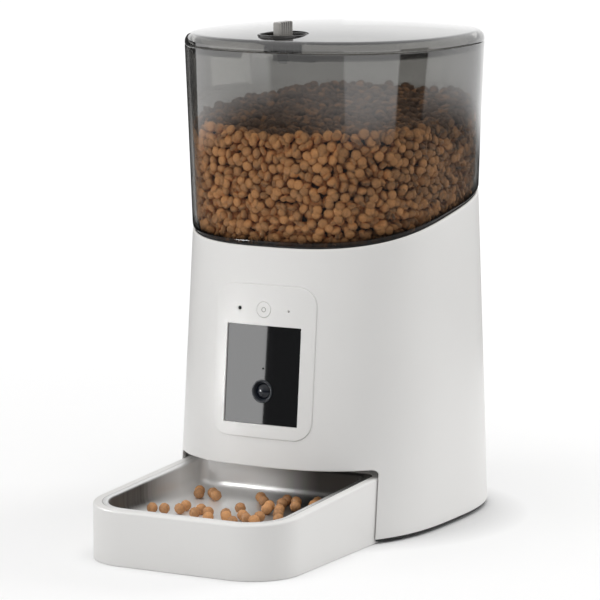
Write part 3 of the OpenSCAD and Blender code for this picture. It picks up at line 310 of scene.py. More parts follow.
def even_finish(name, dark, light, grain, relief, rough, metal=0.0, ior=1.5, groove_shade=None):
    """Mixes two close colours by slow noise, shifts the roughness with it, and bumps the surface by a grain
    of grain millimetres and relief millimetres deep. A grain under FINEST is drawn at FINEST, or it would
    not show. Where the piece has an attribute named groove, the colour goes over to a painted groove shade by
    it."""
    material, tree, where = finish(name)
    slow = add(tree, "TexNoise", {"Vector": where, "Scale": per_mm(DRIFT), "Detail": 3.0})
    tone = add(tree, "Mix", {0: slow, 6: linear(dark), 7: linear(light)}, data_type="RGBA")
    if groove_shade:
        groove = add(tree, "Attribute", attribute_name="groove").outputs["Fac"]
        tone = add(tree, "Mix", {0: groove, 6: tone, 7: linear(groove_shade)}, data_type="RGBA")
    gloss = add(tree, "MapRange", {0: slow, 3: 0.92 * rough, 4: 1.08 * rough})
    fine = add(tree, "TexNoise", {"Vector": where, "Scale": per_mm(max(grain, FINEST)), "Detail": 1.0})
    bump = add(tree, "Bump", {"Height": fine, "Distance": relief * 0.001, "Strength": 0.5})
    shader = add(tree, "BsdfPrincipled", {
        "Base Color": tone, "Roughness": gloss, "Metallic": metal, "IOR": ior, "Normal": bump})
    add(tree, "OutputMaterial", {"Surface": shader})
    return material


finishes = {
    # ABS moulded in a fine satin tool: milky white, soft highlights
    "white_abs": even_finish("satin white ABS", "#E6E5E3", "#EAE9E7", 0.8, 0.010, 0.36, ior=1.53),
    # the same plastic in black, as moulded for the underside
    "black_abs": even_finish("textured black ABS", "#19191A", "#1F1F20", 0.9, 0.030, 0.50, ior=1.53),
    # moulded rubber swallows light
    "black_rubber": even_finish("matt black rubber", "#121212", "#181817", 1.0, 0.030, 0.75),
    # silicone of the paddles, soft and slightly dusty
    "grey_silicone": even_finish("grey silicone", "#A9AEB2", "#B4B9BC", 1.2, 0.020, 0.60, ior=1.41),
    # polypropylene of the inner mouldings, matt and a shade greyer than the shell
    "inner_plastic": even_finish("matt grey polypropylene", "#C9C7C3", "#D3D1CD", 1.0, 0.020, 0.48),
    # acetal of the gears, creamy and smooth
    "acetal": even_finish("natural acetal", "#E6E0CD", "#EEE8D6", 1.5, 0.008, 0.35, ior=1.48),
    # turned brass, warm and fairly bright
    "brass": even_finish("turned brass", "#C79A4B", "#D2A95C", 0.8, 0.010, 0.28, metal=1.0),
    # zinc plated steel of screws, pins and springs
    "zinc_steel": even_finish("zinc plated steel", "#B4B6BA", "#C3C4C7", 0.8, 0.010, 0.33, metal=1.0),
    # stamped and tinned shells
    "can_metal": even_finish("stamped tin plate", "#BEBFC0", "#CCCCCC", 0.8, 0.006, 0.25, metal=1.0),
    # glass filled nylon of the latch, near black with a clear sheen
    "dark_plastic": even_finish("dark grey nylon", "#1E1C1B", "#252322", 0.9, 0.004, 0.14),
    # grey polycarbonate of the knob, satin, with painted shade in its grooves
    "grip_plastic": even_finish("satin grey polycarbonate", "#94918D", "#9E9B97", 1.0, 0.006, 0.20, ior=1.58,
                                groove_shade="#0E0D0C"),
    # grey ink of the mark on the button
    "grey_print": even_finish("grey pad print", "#9C9A96", "#A6A4A0", 1.0, 0.006, 0.50),
    # food in the shade between the biscuits
    "food_shade": even_finish("shaded food crumbs", "#3A2413", "#4A2F1A", 3.0, 0.200, 0.80),
    # satin black paint of the lens barrel, bluish under studio light
    "lens_black": even_finish("satin black lens paint", "#15191F", "#1A1F27", 0.8, 0.006, 0.36),
    # cast acrylic, near black and polished like a mirror
    "dark_acrylic": even_finish("polished black acrylic", "#0B0C0E", "#0E0F11", 6.0, 0.000, 0.04, ior=2.2),
}
print("even finishes:", len(finishes))

# %% [markdown]
# ## Smoky clear plastic
# Jar and lid are moulded in a clear plastic with a grey dye. Real glass needs many bounces before lamp
# light gets through it, and the food behind it would stay black. The shader is therefore true clear plastic
# for what the camera, mirrors and refraction see, and plain tinted air for shadow and bounce light. The
# wall is thin, so it hardly bends the view and its polish is a coat on the side that faces the viewer. Seen
# edge on, light has a long way through the dye, so an upright wall darkens towards its outline, and so does
# the thick root of the jar's wall. The dye is also denser above the food than in front of it, as the
# photograph shows.

# %% Smoky styrene of jar and lid
def settle(slot, material, shader):
    """Links a finished shader to its material's output and keeps the material under its slot."""
    add(material.node_tree, "OutputMaterial", {"Surface": shader})
    finishes[slot] = material
    print(material.name, "has", len(material.node_tree.nodes), "nodes")


material, tree, where = finish("smoky clear styrene")
slow = add(tree, "TexNoise", {"Vector": where, "Scale": per_mm(30), "Detail": 2.0})
gloss = add(tree, "MapRange", {0: slow, 3: 0.015, 4: 0.045})
slant = add(tree, "LayerWeight", {"Blend": 0.5}).outputs["Facing"]
long_way = add(tree, "MapRange", {0: slant, 1: 0.46, 2: 0.87})
surface = add(tree, "NewGeometry")
tilt = add(tree, "SeparateXYZ", {0: surface.outputs["Normal"]}).outputs["Z"]
level_face = add(tree, "Math", {0: tilt}, operation="ABSOLUTE")
upright = add(tree, "MapRange", {0: level_face, 1: 0.3, 2: 0.8, 3: 1.0, 4: 0.0})
edge_on = add(tree, "Math", {0: long_way, 1: upright}, operation="MULTIPLY")
root = add(tree, "Attribute", attribute_name="root").outputs["Fac"]
depth = add(tree, "Math", {0: edge_on, 1: root}, operation="MAXIMUM")
height = add(tree, "SeparateXYZ", {0: where}).outputs["Z"]
above = add(tree, "MapRange", {0: height, 1: 0.258, 2: 0.292})
haze = add(tree, "Mix", {0: above, 6: linear("#C3C2BF"), 7: linear("#989794")}, data_type="RGBA")
dye = add(tree, "Mix", {0: depth, 6: haze, 7: linear("#171615")}, data_type="RGBA")
hidden = add(tree, "Math", {0: root, 1: 0.85}, operation="MULTIPLY")
inner = add(tree, "Math", {0: hidden, 1: surface.outputs["Backfacing"]}, operation="MAXIMUM")
outer = add(tree, "Math", {0: 1.0, 1: inner}, operation="SUBTRACT")
shell = add(tree, "BsdfPrincipled", {
    "Base Color": dye, "Roughness": gloss, "IOR": 1.08, "Transmission Weight": 1.0, "Coat Weight": outer,
    "Coat IOR": 1.9, "Coat Roughness": 0.03})
path = add(tree, "LightPath")
rays = {0: path.outputs["Is Shadow Ray"], 1: path.outputs["Is Diffuse Ray"]}
soft = add(tree, "Math", rays, operation="MAXIMUM")
tint = add(tree, "BsdfTransparent", {"Color": linear("#FBFAF8")})
settle("smoke_clear", material, add(tree, "MixShader", {0: soft, 1: shell, 2: tint}))

# %% Smoky silicone of the lid's seal
material, tree, where = finish("smoky silicone")
cloud = add(tree, "TexNoise", {"Vector": where, "Scale": per_mm(12), "Detail": 2.0})
hue = add(tree, "Mix", {0: cloud, 6: linear("#343331"), 7: linear("#42403E")}, data_type="RGBA")
rubber = add(tree, "BsdfPrincipled", {"Base Color": hue, "Roughness": 0.5, "IOR": 1.41})
clear = add(tree, "BsdfTransparent", {"Color": WHITE})
settle("smoke_silicone", material, add(tree, "MixShader", {0: 0.45, 1: rubber, 2: clear}))

# %% Coated glass of the lens
material, tree, where = finish("coated lens glass")
rings = add(tree, "TexNoise", {"Vector": where, "Scale": per_mm(5), "Detail": 0.0})
hue = add(tree, "Mix", {0: rings, 6: linear("#0A0D13"), 7: linear("#131925")}, data_type="RGBA")
settle("lens_glass", material, add(tree, "BsdfPrincipled", {
    "Base Color": hue, "Roughness": 0.2, "IOR": 1.4, "Coat Weight": 0.2, "Coat Roughness": 0.12}))

# %% [markdown]
# ## Brushed steel, circuit boards and dry food
# The bowl is deep drawn from stainless sheet. Its long sides near the front get a painted dark reflection,
# streaked by noise that is tight along the plan and stretched in height, and the normal's x tells the long
# sides. Towards the right of the rear, painted shade and reflection darken the steel under the feeder, as the
# photograph shows. A board has green lacquer over copper tracks. Dry food is baked dough: crumbly, with a
# tone of its own per piece, into which painted shade is laid as well.

# %% Brushed steel of the bowl
material, tree, where = finish("brushed stainless steel")
drawn = add(tree, "Mapping", {"Vector": where, "Scale": (per_mm(2.5), per_mm(2.5), per_mm(60))})
lines = add(tree, "TexNoise", {"Vector": drawn, "Scale": 1.0, "Detail": 3.0})
face = add(tree, "SeparateXYZ", {0: add(tree, "NewGeometry").outputs["Normal"]})
sideways = add(tree, "Math", {0: face.outputs["X"]}, operation="ABSOLUTE")
long_side = add(tree, "MapRange", {0: sideways, 1: 0.3, 2: 0.9})
spot = add(tree, "SeparateXYZ", {0: where})
to_front = add(tree, "MapRange", {0: spot.outputs["Y"], 1: -0.05, 2: -0.1})
# painted reflection: the long sides near the front turn dark, streaked by the brushing's noise
painted_reflection = add(tree, "Math", {0: long_side, 1: to_front}, operation="MULTIPLY")
dark_reflection = add(tree, "Mix", {0: lines, 6: linear("#2E2C2A"), 7: linear("#787673")}, data_type="RGBA")
tone = add(tree, "Mix", {0: painted_reflection, 6: linear("#F0F0EF"), 7: dark_reflection}, data_type="RGBA")
# painted shade and painted reflection: the rear right of the bowl goes dark under the feeder
to_right = add(tree, "MapRange", {0: spot.outputs["X"], 1: -0.028, 2: 0.03}, interpolation_type="SMOOTHSTEP")
to_rear = add(tree, "MapRange", {0: spot.outputs["Y"], 1: -0.13, 2: -0.05}, interpolation_type="SMOOTHSTEP")
corner = add(tree, "Math", {0: to_right, 1: to_rear}, operation="MULTIPLY")
inside = add(tree, "MapRange", {0: face.outputs["Z"], 1: -0.4, 2: -0.1})
shade = add(tree, "Math", {0: corner, 1: inside}, operation="MULTIPLY")
tone = add(tree, "Mix", {0: shade, 6: tone, 7: linear("#4A4947")}, data_type="RGBA")
gloss = add(tree, "MapRange", {0: lines, 3: 0.30, 4: 0.44})
bump = add(tree, "Bump", {"Height": lines, "Distance": 0.00004, "Strength": 0.4})
settle("bowl_steel", material, add(tree, "BsdfPrincipled", {
    "Base Color": tone, "Roughness": gloss, "Metallic": 0.5, "Normal": bump}))

# %% Circuit board
material, tree, where = finish("green lacquered circuit board")
tracks = add(tree, "TexBrick", {
    "Vector": where, "Scale": per_mm(9), "Color1": linear("#1C5A34"), "Color2": linear("#206339"),
    "Mortar": linear("#2F7A4B"), "Mortar Size": 0.06})
shader = add(tree, "BsdfPrincipled", {"Base Color": tracks, "Roughness": 0.3, "IOR": 1.55})
settle("circuit_board", material, shader)

# %% Baked food
material, tree, where = finish("baked dry food")
tone = add(tree, "Attribute", attribute_name="tone").outputs["Fac"]
crumb = add(tree, "TexNoise", {"Vector": where, "Scale": per_mm(1.6), "Detail": 3.0})
rough_tone = add(tree, "MapRange", {0: crumb, 1: 0.3, 2: 0.7, 3: -0.12, 4: 0.12})
blend = add(tree, "Math", {0: tone, 1: rough_tone}, operation="ADD", use_clamp=True)
# the dark grey-brown end of this mix carries the painted shade laid into the tones
hue = add(tree, "Mix", {0: blend, 6: linear("#5E4838"), 7: linear("#F2B072")}, data_type="RGBA")
bump = add(tree, "Bump", {"Height": crumb, "Distance": 0.0006, "Strength": 0.6})
shader = add(tree, "BsdfPrincipled", {"Base Color": hue, "Roughness": 0.62, "Normal": bump})
settle("dry_food", material, shader)

# %% [markdown]
# ## Finishes on the CAD nodes
# The screws, gears, boards and inner mouldings keep their CAD shapes. Each node's record names a material
# slot, so one pass gives every node the finish of its slot, and the surfaces made below then stand in for
# some of them.

# %% Dress every CAD node
slot_of = {row["node"]: row["material_slot"] for row in frame["record"]["subparts"]}
for name, cad in nodes.items():
    for holder in cad.material_slots:
        holder.material = finishes[slot_of[name]]
print("dressed nodes:", len(slot_of))

# %% [markdown]
# ## Grids to meshes
# Every new surface here is a grid of points worked out as one numpy array, in millimetres about the body's
# axis. A mesh could be grown vertex by vertex with bmesh, but whole arrays are quicker and the formula
# stays readable. One function turns a list of grids into a closed mesh: it makes the quads, merges the
# shared borders, turns the faces outwards and puts the piece on its CAD body.

# %% From grids to a piece
def piece(name, grids, body, slot, stands_for=(), sharp=35.0):
    """One mesh from grids of points in millimetres, riding on a body with its slot's finish. Points that
    meet are merged, faces point out, and edges that bend by more than sharp degrees stay crisp."""
    starts = np.cumsum([0] + [g.shape[0] * g.shape[1] for g in grids])
    quads = np.concatenate([grid_quads(*g.shape[:2]) + s for g, s in zip(grids, starts)])
    mesh = bpy.data.meshes.new(name)
    mesh.from_pydata(place(np.concatenate([g.reshape(-1, 3) for g in grids])), [], quads)
    joined = bmesh.new()
    joined.from_mesh(mesh)
    bmesh.ops.remove_doubles(joined, verts=joined.verts, dist=4e-6)
    bmesh.ops.dissolve_degenerate(joined, edges=joined.edges, dist=1e-7)
    bmesh.ops.recalc_face_normals(joined, faces=joined.faces)
    joined.to_mesh(mesh)
    joined.free()
    mesh.shade_smooth()
    mesh.set_sharp_from_angle(angle=radians(sharp))
    mesh.materials.append(finishes[slot])
    made = show(name, mesh)
    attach(made, body)
    if stands_for:
        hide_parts(*stands_for)
    uses = np.zeros(len(mesh.loops), np.int32)
    mesh.loops.foreach_get("edge_index", uses)
    print(name, "faces", len(mesh.polygons), "open edges", int((np.bincount(uses) == 1).sum()))
    return made


# %% [markdown]
# ## Outlines of body and jar
# Seen from above, the body is an oval with full shoulders: a superellipse with its own depth at the front
# and at the back. The body runs in straight lines from the foot to a slanted seam, and the jar from that
# seam to its round rim. Any point of the skin then follows from a turn about the axis, a height and an
# inset.

# %% Ovals, walls and the way back from x to a turn
FOOT, SEAM, RIM, SLANT = 3.0, 212.0, 327.0, tan(radians(9.2))  # heights on the axis in mm, the seam's slope
FOOT_PLAN = (93.0, 114.0, 115.0, 2.8)  # half width, depth to the front and to the back in mm, and squareness
SEAM_PLAN = (87.5, 95.5, 103.5, 2.8)
RIM_PLAN = (96.0, 102.5, 105.5, 2.4)


def oval(turn, plan, inset=0.0):
    """Polar superellipse of a plan drawn in by inset: the reach is one over the square-th root of
    (|cos|/half)^square + (|sin|/depth)^square."""
    half, front, back = (size - inset for size in plan[:3])
    square = plan[3]
    depth = np.where(np.sin(turn) < 0, front, back)
    across, along = np.abs(np.cos(turn)) / half, np.abs(np.sin(turn)) / depth
    reach = (across ** square + along ** square) ** (-1 / square)
    return reach * np.cos(turn), reach * np.sin(turn)


def foot_ring(turn, inset):
    """The body's outline where it stands."""
    return stack(*oval(turn, FOOT_PLAN, inset), FOOT)


def seam_ring(turn, inset):
    """The outline at the slanted seam: its height rises by SLANT with y."""
    x, y = oval(turn, SEAM_PLAN, inset)
    return stack(x, y, SEAM + y * SLANT)


def rim_ring(turn, inset, z=RIM):
    """The jar's rim and the lid's outline, a rounder oval."""
    return stack(*oval(turn, RIM_PLAN, inset), z)


def between(low, high, z):
    """The straight line from low to high, taken at height z."""
    return low + (high - low) * ((z - low[..., 2]) / (high[..., 2] - low[..., 2]))[..., None]


def wall(turn, z, inset=0.0):
    """The body's skin at a turn and height."""
    return between(foot_ring(turn, inset), seam_ring(turn, inset), z)


def jar(turn, z, inset=0.0):
    """The jar's skin at a turn and height."""
    return between(seam_ring(turn, inset), rim_ring(turn, inset), z)


def turn_at(x, z, inset, side=1.0):
    """The turn whose skin point has this x, by halving: side 1 looks on the front, -1 on the back."""
    x, z = np.broadcast_arrays(np.asarray(x, float), z)
    low, high = np.full(x.shape, -pi), np.zeros(x.shape)
    for _ in range(44):
        middle = (low + high) / 2
        short = wall(side * middle, z, inset)[..., 0] < x
        low, high = np.where(short, middle, low), np.where(short, high, middle)
    return side * (low + high) / 2


front_seam = float(seam_ring(np.array(-pi / 2), 0)[2])
LEAN = atan((FOOT_PLAN[1] - SEAM_PLAN[1]) / (front_seam - FOOT))
print("front seam at", round(front_seam, 1), "mm, front leans", round(LEAN * 180 / pi, 2), "degrees")

# %% [markdown]
# ## Loops and rings
# A hole in a curved wall needs a mesh that runs round it, or its edge turns ragged. A ring of cells from a
# round inner loop to a square outer loop does that, and the squares then tile like any grid. Loops start in
# the middle of their lower left corner, so the inner and the outer one match side by side.

# %% Rounded loops, square loops and the rings between them
def arc(x, y, radius, first, last, cells):
    """Points on a circle from one angle to another, in degrees, without the last."""
    t = np.radians(np.linspace(first, last, cells, endpoint=False))
    return stack(x + radius * np.cos(t), y + radius * np.sin(t))


def run(a, b, cells):
    """Evenly spaced points from a to b without the last."""
    return np.linspace(a, b, cells, endpoint=False).reshape(-1, 2)


def rounded_loop(x0, x1, y0, y1, low_r, high_r, across, along, bend):
    """A rounded rectangle by its lower and upper corner radius: each side is half an arc, a straight run of
    across or along cells, and half an arc, with bend cells in a whole arc. The first point comes again at
    the end."""
    half = bend // 2
    a, b, c, d = x0 + low_r, x1 - low_r, x0 + high_r, x1 - high_r
    e, f = y0 + low_r, y1 - high_r
    parts = [arc(a, e, low_r, 225, 270, half), run((a, y0), (b, y0), across),
             arc(b, e, low_r, 270, 360, bend), run((x1, e), (x1, f), along),
             arc(d, f, high_r, 0, 90, bend), run((d, y1), (c, y1), across),
             arc(c, f, high_r, 90, 180, bend), run((x0, f), (x0, e), along),
             arc(a, e, low_r, 180, 225, half)]
    loop = np.concatenate(parts)
    return np.concatenate([loop, loop[:1]])


def rounded_box(w, h, r, cells, x=0.0, up=0.0):
    """A rounded rectangle of half sides w and h about (x, up), with cells across, along and per bend."""
    return rounded_loop(x - w, x + w, up - h, up + h, r, r, *cells)


def square_loop(xs, ys):
    """A rectangle through the given positions, from its lower left corner round by the right."""
    loop = np.concatenate([stack(xs[:-1], ys[0]), stack(xs[-1], ys[:-1]), stack(xs[:0:-1], ys[-1]),
                           stack(xs[0], ys[:0:-1])])
    return np.concatenate([loop, loop[:1]])


EASE = np.array([0.0, 0.05, 0.15, 0.35, 0.65, 1.0])  # rows near a hole are narrow, so its edge shades well


def ring(inner, outer):
    """Rows of straight steps from an inner loop to an outer one."""
    share = EASE[:, None, None]
    return inner * (1 - share) + outer * share


def fillet(radius, cells=5):
    """A quarter round as (offset, depth): from the open face, a radius away, down to the cut's own wall."""
    t = np.linspace(0, pi / 2, cells + 1)
    return stack(radius * (1 - np.sin(t)), radius * (1 - np.cos(t)))


print("points in a test loop:", len(rounded_box(5, 5, 5, (0, 0, 8))))

# %% [markdown]
# ## The housing
# The white body is one moulding with a bay for the tray cut into its foot and a hole for the camera panel.
# It could be a plain loft with the cuts made by a Boolean modifier, but that leaves long thin faces that
# shade badly on glossy plastic. Here the skin is laid out on turn and height, with rings of cells round
# each cut. The same layout at the wall's inner side, and rounded strips along the edges, close it to a real
# wall.

# %% Levels and cuts of the housing
WALL, BAY, ROOF, BAY_R = 2.6, 75.6, 49.965, 3.5  # wall, and the bay's half width, top and corner in mm
LEFT, RIGHT = radians(-140.0), radians(-40.0)  # turns at the sides of the front's cells
BELOW, ABOVE = 60.0, 184.0  # heights of the cells' levels under and over the camera panel
PANEL_W, PANEL_H, PANEL_R, PANEL_GAP = 38.2, 51.5, 13.0, 0.05  # the panel's half sides, corner and gap in mm
PANEL_CELLS = (16, 20, 8)
PANEL_TOP = front_seam - 24.5
PANEL_Z = PANEL_TOP - PANEL_H
INLET_W, INLET_H, INLET_R, INLET_Z = 5.9, 3.1, 3.0, 28.0  # the inlet's half sides, corner and height in mm


def chain(*stops):
    """Positions from stop to stop: between two stops stands the number of even cells that divide the way."""
    parts = [np.linspace(a, b, n + 1)[1:] for a, n, b in zip(stops[:-1:2], stops[1::2], stops[2::2])]
    return np.concatenate([stops[:1], *parts])


side_turns = np.radians(chain(-140, 8, -116, 24, -64, 8, -40))
back_turns = np.radians(chain(-40, 40, 81, 8, 99, 40, 220))
FRONT_LEFT, FRONT_PANEL, FRONT_RIGHT = slice(0, 9), slice(8, 33), slice(32, 41)  # parts of side_turns
BACK_RIGHT, BACK_INLET, BACK_LEFT = slice(0, 41), slice(40, 49), slice(48, 89)  # parts of back_turns
INLET_ROWS = (4, 10)  # rows of the levels under and over the inlet


def front_depth(z):
    """How far the front's middle line stands before the axis."""
    return FOOT_PLAN[1] - (z - FOOT) * tan(LEAN)


def on_face(loop, inset):
    """Turn and height of the skin behind points (x, up) of the leaning front plane, about the panel's middle.
    The skin lies off the plane by some depth along its slope, so the height is corrected a few times."""
    x, up = loop[..., 0], loop[..., 1]
    z = PANEL_Z + up * cos(LEAN)
    for _ in range(4):
        turn = turn_at(x, z, inset)
        out = (up * sin(LEAN) - front_depth(PANEL_Z) - wall(turn, z, inset)[..., 1]) / cos(LEAN)
        z = PANEL_Z + up * cos(LEAN) + out * sin(LEAN)
    return stack(turn_at(x, z, inset), z)


def bay_edge(offset, inset, low):
    """Turn and height along the bay's cut: up the left side, over the corners and down the right side."""
    x, top, r = BAY + offset, ROOF + offset, BAY_R + offset
    edge = np.concatenate([run((-x, low), (-x, top - r), 12), arc(r - x, top - r, r, 180, 90, 8),
                           run((r - x, top), (x - r, top), 32), arc(x - r, top - r, r, 90, 0, 8),
                           run((x, top - r), (x, low), 12), np.array([[x, low]])])
    return stack(turn_at(edge[:, 0], edge[:, 1], inset), edge[:, 1])


def panel_cut(offset, inset):
    """Turn and height along the hole for the camera panel."""
    gap = PANEL_GAP + offset
    return on_face(rounded_box(PANEL_W + gap, PANEL_H + gap, PANEL_R + offset, PANEL_CELLS), inset)


def inlet_cut(offset, inset):
    """Turn and height along the small oblong hole at the back, seen from inside so that turns still grow."""
    loop = rounded_box(INLET_W + offset, INLET_H + offset, INLET_R + offset, (4, 2, 4), up=INLET_Z)
    return stack(turn_at(-loop[:, 0], loop[:, 1], inset, -1.0), loop[:, 1])


print("panel middle at", round(PANEL_Z, 1), "mm")

# %% The housing's skin, inside and out
def skin(inset, low, drop, bay_gap, gap):
    """Grids of the skin at an inset, from height low to drop below the seam, with its cuts opened by gaps."""
    def seam_height(turn):
        """The skin's upper end at a turn."""
        return seam_ring(turn, inset)[..., 2] - drop

    levels, heights = chain(low, 4, 18, 6, 38, 6, BELOW), chain(BELOW, 28, ABOVE)
    rise = np.concatenate([levels, heights[1:], chain(ABOVE, 8, seam_height(LEFT))[1:]])
    share = (rise - low) / (rise[-1] - low)

    def tall(turn, rows):
        """Heights of some rows at a turn, stretched so that the last row meets the upper end."""
        return low + share[rows] * (seam_height(turn) - low)

    frame_up = np.concatenate([stack(LEFT, levels), stack(side_turns[1:-1], BELOW),
                               stack(RIGHT, levels[::-1])])
    under = ring(bay_edge(bay_gap, inset, low), frame_up)
    about = ring(panel_cut(gap, inset), square_loop(side_turns[FRONT_PANEL], heights))
    flanks = [stack(side_turns[part], heights[:, None]) for part in (FRONT_LEFT, FRONT_RIGHT)]
    crest = np.linspace(0, 1, 9)[:, None] * (seam_height(side_turns) - ABOVE) + ABOVE
    rows = np.arange(len(rise))[:, None]
    sides = [stack(back_turns[part], tall(back_turns[part], rows)) for part in (BACK_RIGHT, BACK_LEFT)]
    rear = back_turns[BACK_INLET]
    first, last = INLET_ROWS
    walk = ((rear[:-1], first), (rear[-1], np.arange(first, last)), (rear[:0:-1], last),
            (rear[0], np.arange(last, first - 1, -1)))
    plug = ring(inlet_cut(gap, inset), np.concatenate([stack(turn, tall(turn, row)) for turn, row in walk]))
    strips = [stack(rear, tall(rear, part)) for part in (rows[:first + 1], rows[last:])]
    flat = [under, about, *flanks, stack(side_turns, crest), *sides, plug, *strips]
    return [wall(g[..., 0], g[..., 1], inset) for g in flat]


# %% Rounded edges close the housing
EDGE, NICK = 0.8, 0.15  # radius of the housing's free edges and of its small holes in mm
lip = np.concatenate([fillet(EDGE), [[0.0, WALL]]])
nick = np.concatenate([fillet(NICK), [[0.0, WALL]]])


def strip(cut, profile):
    """Rows along a cut: for each offset and depth of the profile, the cut's own line at that depth."""
    lines = [(cut(offset, depth), depth) for offset, depth in profile]
    return np.stack([wall(line[:, 0], line[:, 1], depth) for line, depth in lines])


def foot_line(offset, depth):
    """The housing's lower edge from the bay's right side round the back to its left side."""
    z = FOOT + offset
    right = turn_at(BAY + offset, z, depth)
    ends = EASE * (RIGHT - right) + right
    turns = np.concatenate([ends[:-1], back_turns, pi - ends[-2::-1]])
    return stack(turns, z)


all_turns = np.concatenate([side_turns, back_turns[1:]])
crown = [wall(all_turns, seam_ring(all_turns, d)[..., 2] - o, d) for o, d in lip]
piece("housing", [
    *skin(0.0, FOOT + EDGE, EDGE, EDGE, NICK), *skin(WALL, FOOT, 0.0, 0.0, 0.0),
    strip(lambda o, d: bay_edge(o, d, FOOT + o), lip), strip(panel_cut, nick), strip(inlet_cut, nick),
    strip(foot_line, lip), np.stack(crown)], "feeder_body", "white_abs", ["main_housing"])

# %% [markdown]
# ## The camera panel
# A separate white plate is set into the front and stands out by less than a millimetre. It has a square
# window, a round hole for the button and two dots beside it. A flat plate would look pasted on, because the
# body bulges, so the plate is laid out on the leaning front plane and dropped onto the skin behind it.

# %% Panel plate with its holes
WINDOW_W, WINDOW_H, WINDOW_R, PANE_H = 28.2, 33.2, 0.6, 33.0  # half sides, corner, the pane's half height
WINDOW_UP = (PANEL_TOP - 27.6 - PANE_H - PANEL_Z) / cos(LEAN)
BUTTON_UP = (PANEL_TOP - 16.9 - PANEL_Z) / cos(LEAN)
xs = chain(-31, 8, -9.5, 8, 9.5, 8, 31)
ys = chain(-45.5, 20, 27, 8, 45)
dots = [(-18.65, 1.35), (0.0, 5.45), (18.65, 0.7)]  # x and radius of the three holes


def panel_outline(offset):
    """The plate's outline, drawn in by offset."""
    return rounded_box(PANEL_W - offset, PANEL_H - offset, PANEL_R - offset, PANEL_CELLS)


def window_outline(offset):
    """The window's hole, opened by offset."""
    return rounded_box(WINDOW_W + offset, WINDOW_H + offset, WINDOW_R + offset, (20, 16, 4), up=WINDOW_UP)


def dot_outline(x, radius):
    """A round hole in the strip above the window."""
    return rounded_box(radius, radius, radius, (0, 0, 8), x, BUTTON_UP)


def on_skin(loop, inset):
    """Points of the skin behind (x, up) on the front plane."""
    spot = on_face(loop, inset)
    return wall(spot[..., 0], spot[..., 1], inset)


def plate(inset, trim, gap):
    """Grids of the plate's face: its border, the ring round the window, and three cells with a round hole."""
    flat = [ring(panel_outline(trim), square_loop(xs, ys)),
            ring(window_outline(gap), square_loop(xs, ys[:21]))]
    for k, (x, radius) in enumerate(dots):
        flat.append(ring(dot_outline(x, radius + gap), square_loop(xs[8 * k:8 * k + 9], ys[20:])))
    return [on_skin(g, inset) for g in flat]


PROUD, SOFTEN, BREAK = -0.8, 0.7, 0.25  # the plate's depth, its border's radius and its holes', in mm
rim = np.concatenate([fillet(SOFTEN) + (0.0, PROUD), [[0.0, WALL]]])
brim = np.concatenate([fillet(BREAK) + (0.0, PROUD), [[0.0, WALL]]])
edges = [np.stack([on_skin(panel_outline(o), d) for o, d in rim])]
edges += [np.stack([on_skin(window_outline(o), d) for o, d in brim])]
edges += [np.stack([on_skin(dot_outline(x, r + o), d) for o, d in brim]) for x, r in dots]
panel = [*plate(PROUD, SOFTEN, BREAK), *plate(WALL, 0.0, 0.0), *edges]
piece("camera_panel", panel, "feeder_body", "white_abs", ["front_panel"])

# %% [markdown]
# ## Lens and button
# The camera looks out through a hole in the black pane. Its barrel is a turned ring that steps down to the
# glass, and the front glass is a shallow dome. Turned shapes are a profile of radius and depth carried
# round an axis, here the axis that leaves the front plane at a right angle.

# %% Turned pieces on the front
def from_face(x, up, out):
    """Front plane coordinates to points: up runs along the leaning front, out leaves it squarely."""
    y = up * sin(LEAN) - front_depth(PANEL_Z) - out * cos(LEAN)
    return stack(x, y, PANEL_Z + up * cos(LEAN) + out * sin(LEAN))


def turned(profile, x, up, cells=72):
    """A profile of (radius, out) turned about an axis that leaves the front at (x, up)."""
    radius, out = np.array(profile, float).T[..., None]
    t = np.linspace(0, 2 * pi, cells + 1)
    return from_face(x + radius * np.cos(t), up + radius * np.sin(t), out)


def round_profile(points, radius=0.15, cells=3):
    """Softens each inner corner of a profile with a short curve that starts and ends radius away from it."""
    p = np.array(points, float)
    before, after = p[:-2] - p[1:-1], p[2:] - p[1:-1]
    before *= np.minimum(radius / np.linalg.norm(before, axis=1), 0.45)[:, None]
    after *= np.minimum(radius / np.linalg.norm(after, axis=1), 0.45)[:, None]
    t = np.linspace(0, 1, cells + 1)[:, None, None]
    curve = p[1:-1] + before * (1 - t) ** 2 + after * t ** 2
    return np.concatenate([p[:1], curve.transpose(1, 0, 2).reshape(-1, 2), p[-1:]])


LENS_UP = WINDOW_UP - PANE_H + 22  # the lens sits 22 mm above the pane's lower edge
PANE = -1.9  # the pane's face, measured from the front plane
barrel = round_profile([[5.5, -6.0], [7.7, -6.0], [7.7, 0.8], [6.7, 0.8], [6.2, 0.1], [5.5, -1.2],
                        [5.5, -6.0]])
piece("lens_barrel", [turned(barrel + (0.0, PANE), 0.0, LENS_UP)], "feeder_body", "lens_black", ["lens_ring"])
dome = np.linspace(0, 1, 9)
glass = np.concatenate([stack(5.4 * dome, 0.2 - 1.75 * dome ** 2), [[5.4, -3.0], [0.0, -3.0]]])
piece("lens_front", [turned(glass + (0.0, PANE), 0.0, LENS_UP)], "feeder_body", "lens_glass", ["lens_glass"])
cap = round_profile([[0.0, 0.9], [4.6, 1.05], [4.95, 1.1], [5.35, 0.5], [5.35, -3.0], [6.5, -3.0],
                     [6.5, -3.9], [2.0, -3.9], [2.0, -6.0], [0.0, -6.0]])
piece("button_cap", [turned(cap, 0.0, BUTTON_UP)], "button", "white_abs", ["feed_button"])
mark = [[1.2, 0.9], [1.7, 0.9], [1.7, 1.02], [1.2, 1.02], [1.2, 0.9]]
piece("button_mark", [turned(mark, 0.0, BUTTON_UP)], "button", "grey_print")

# %% [markdown]
# ## The jar and its seals
# The food jar is a ring with one closed section: a spigot that drops into the body, a rounded foot on the
# gasket, and a straight wall up to the rim. A ring like this is a section carried round the oval, and the
# last row repeats the first, so that the section closes.

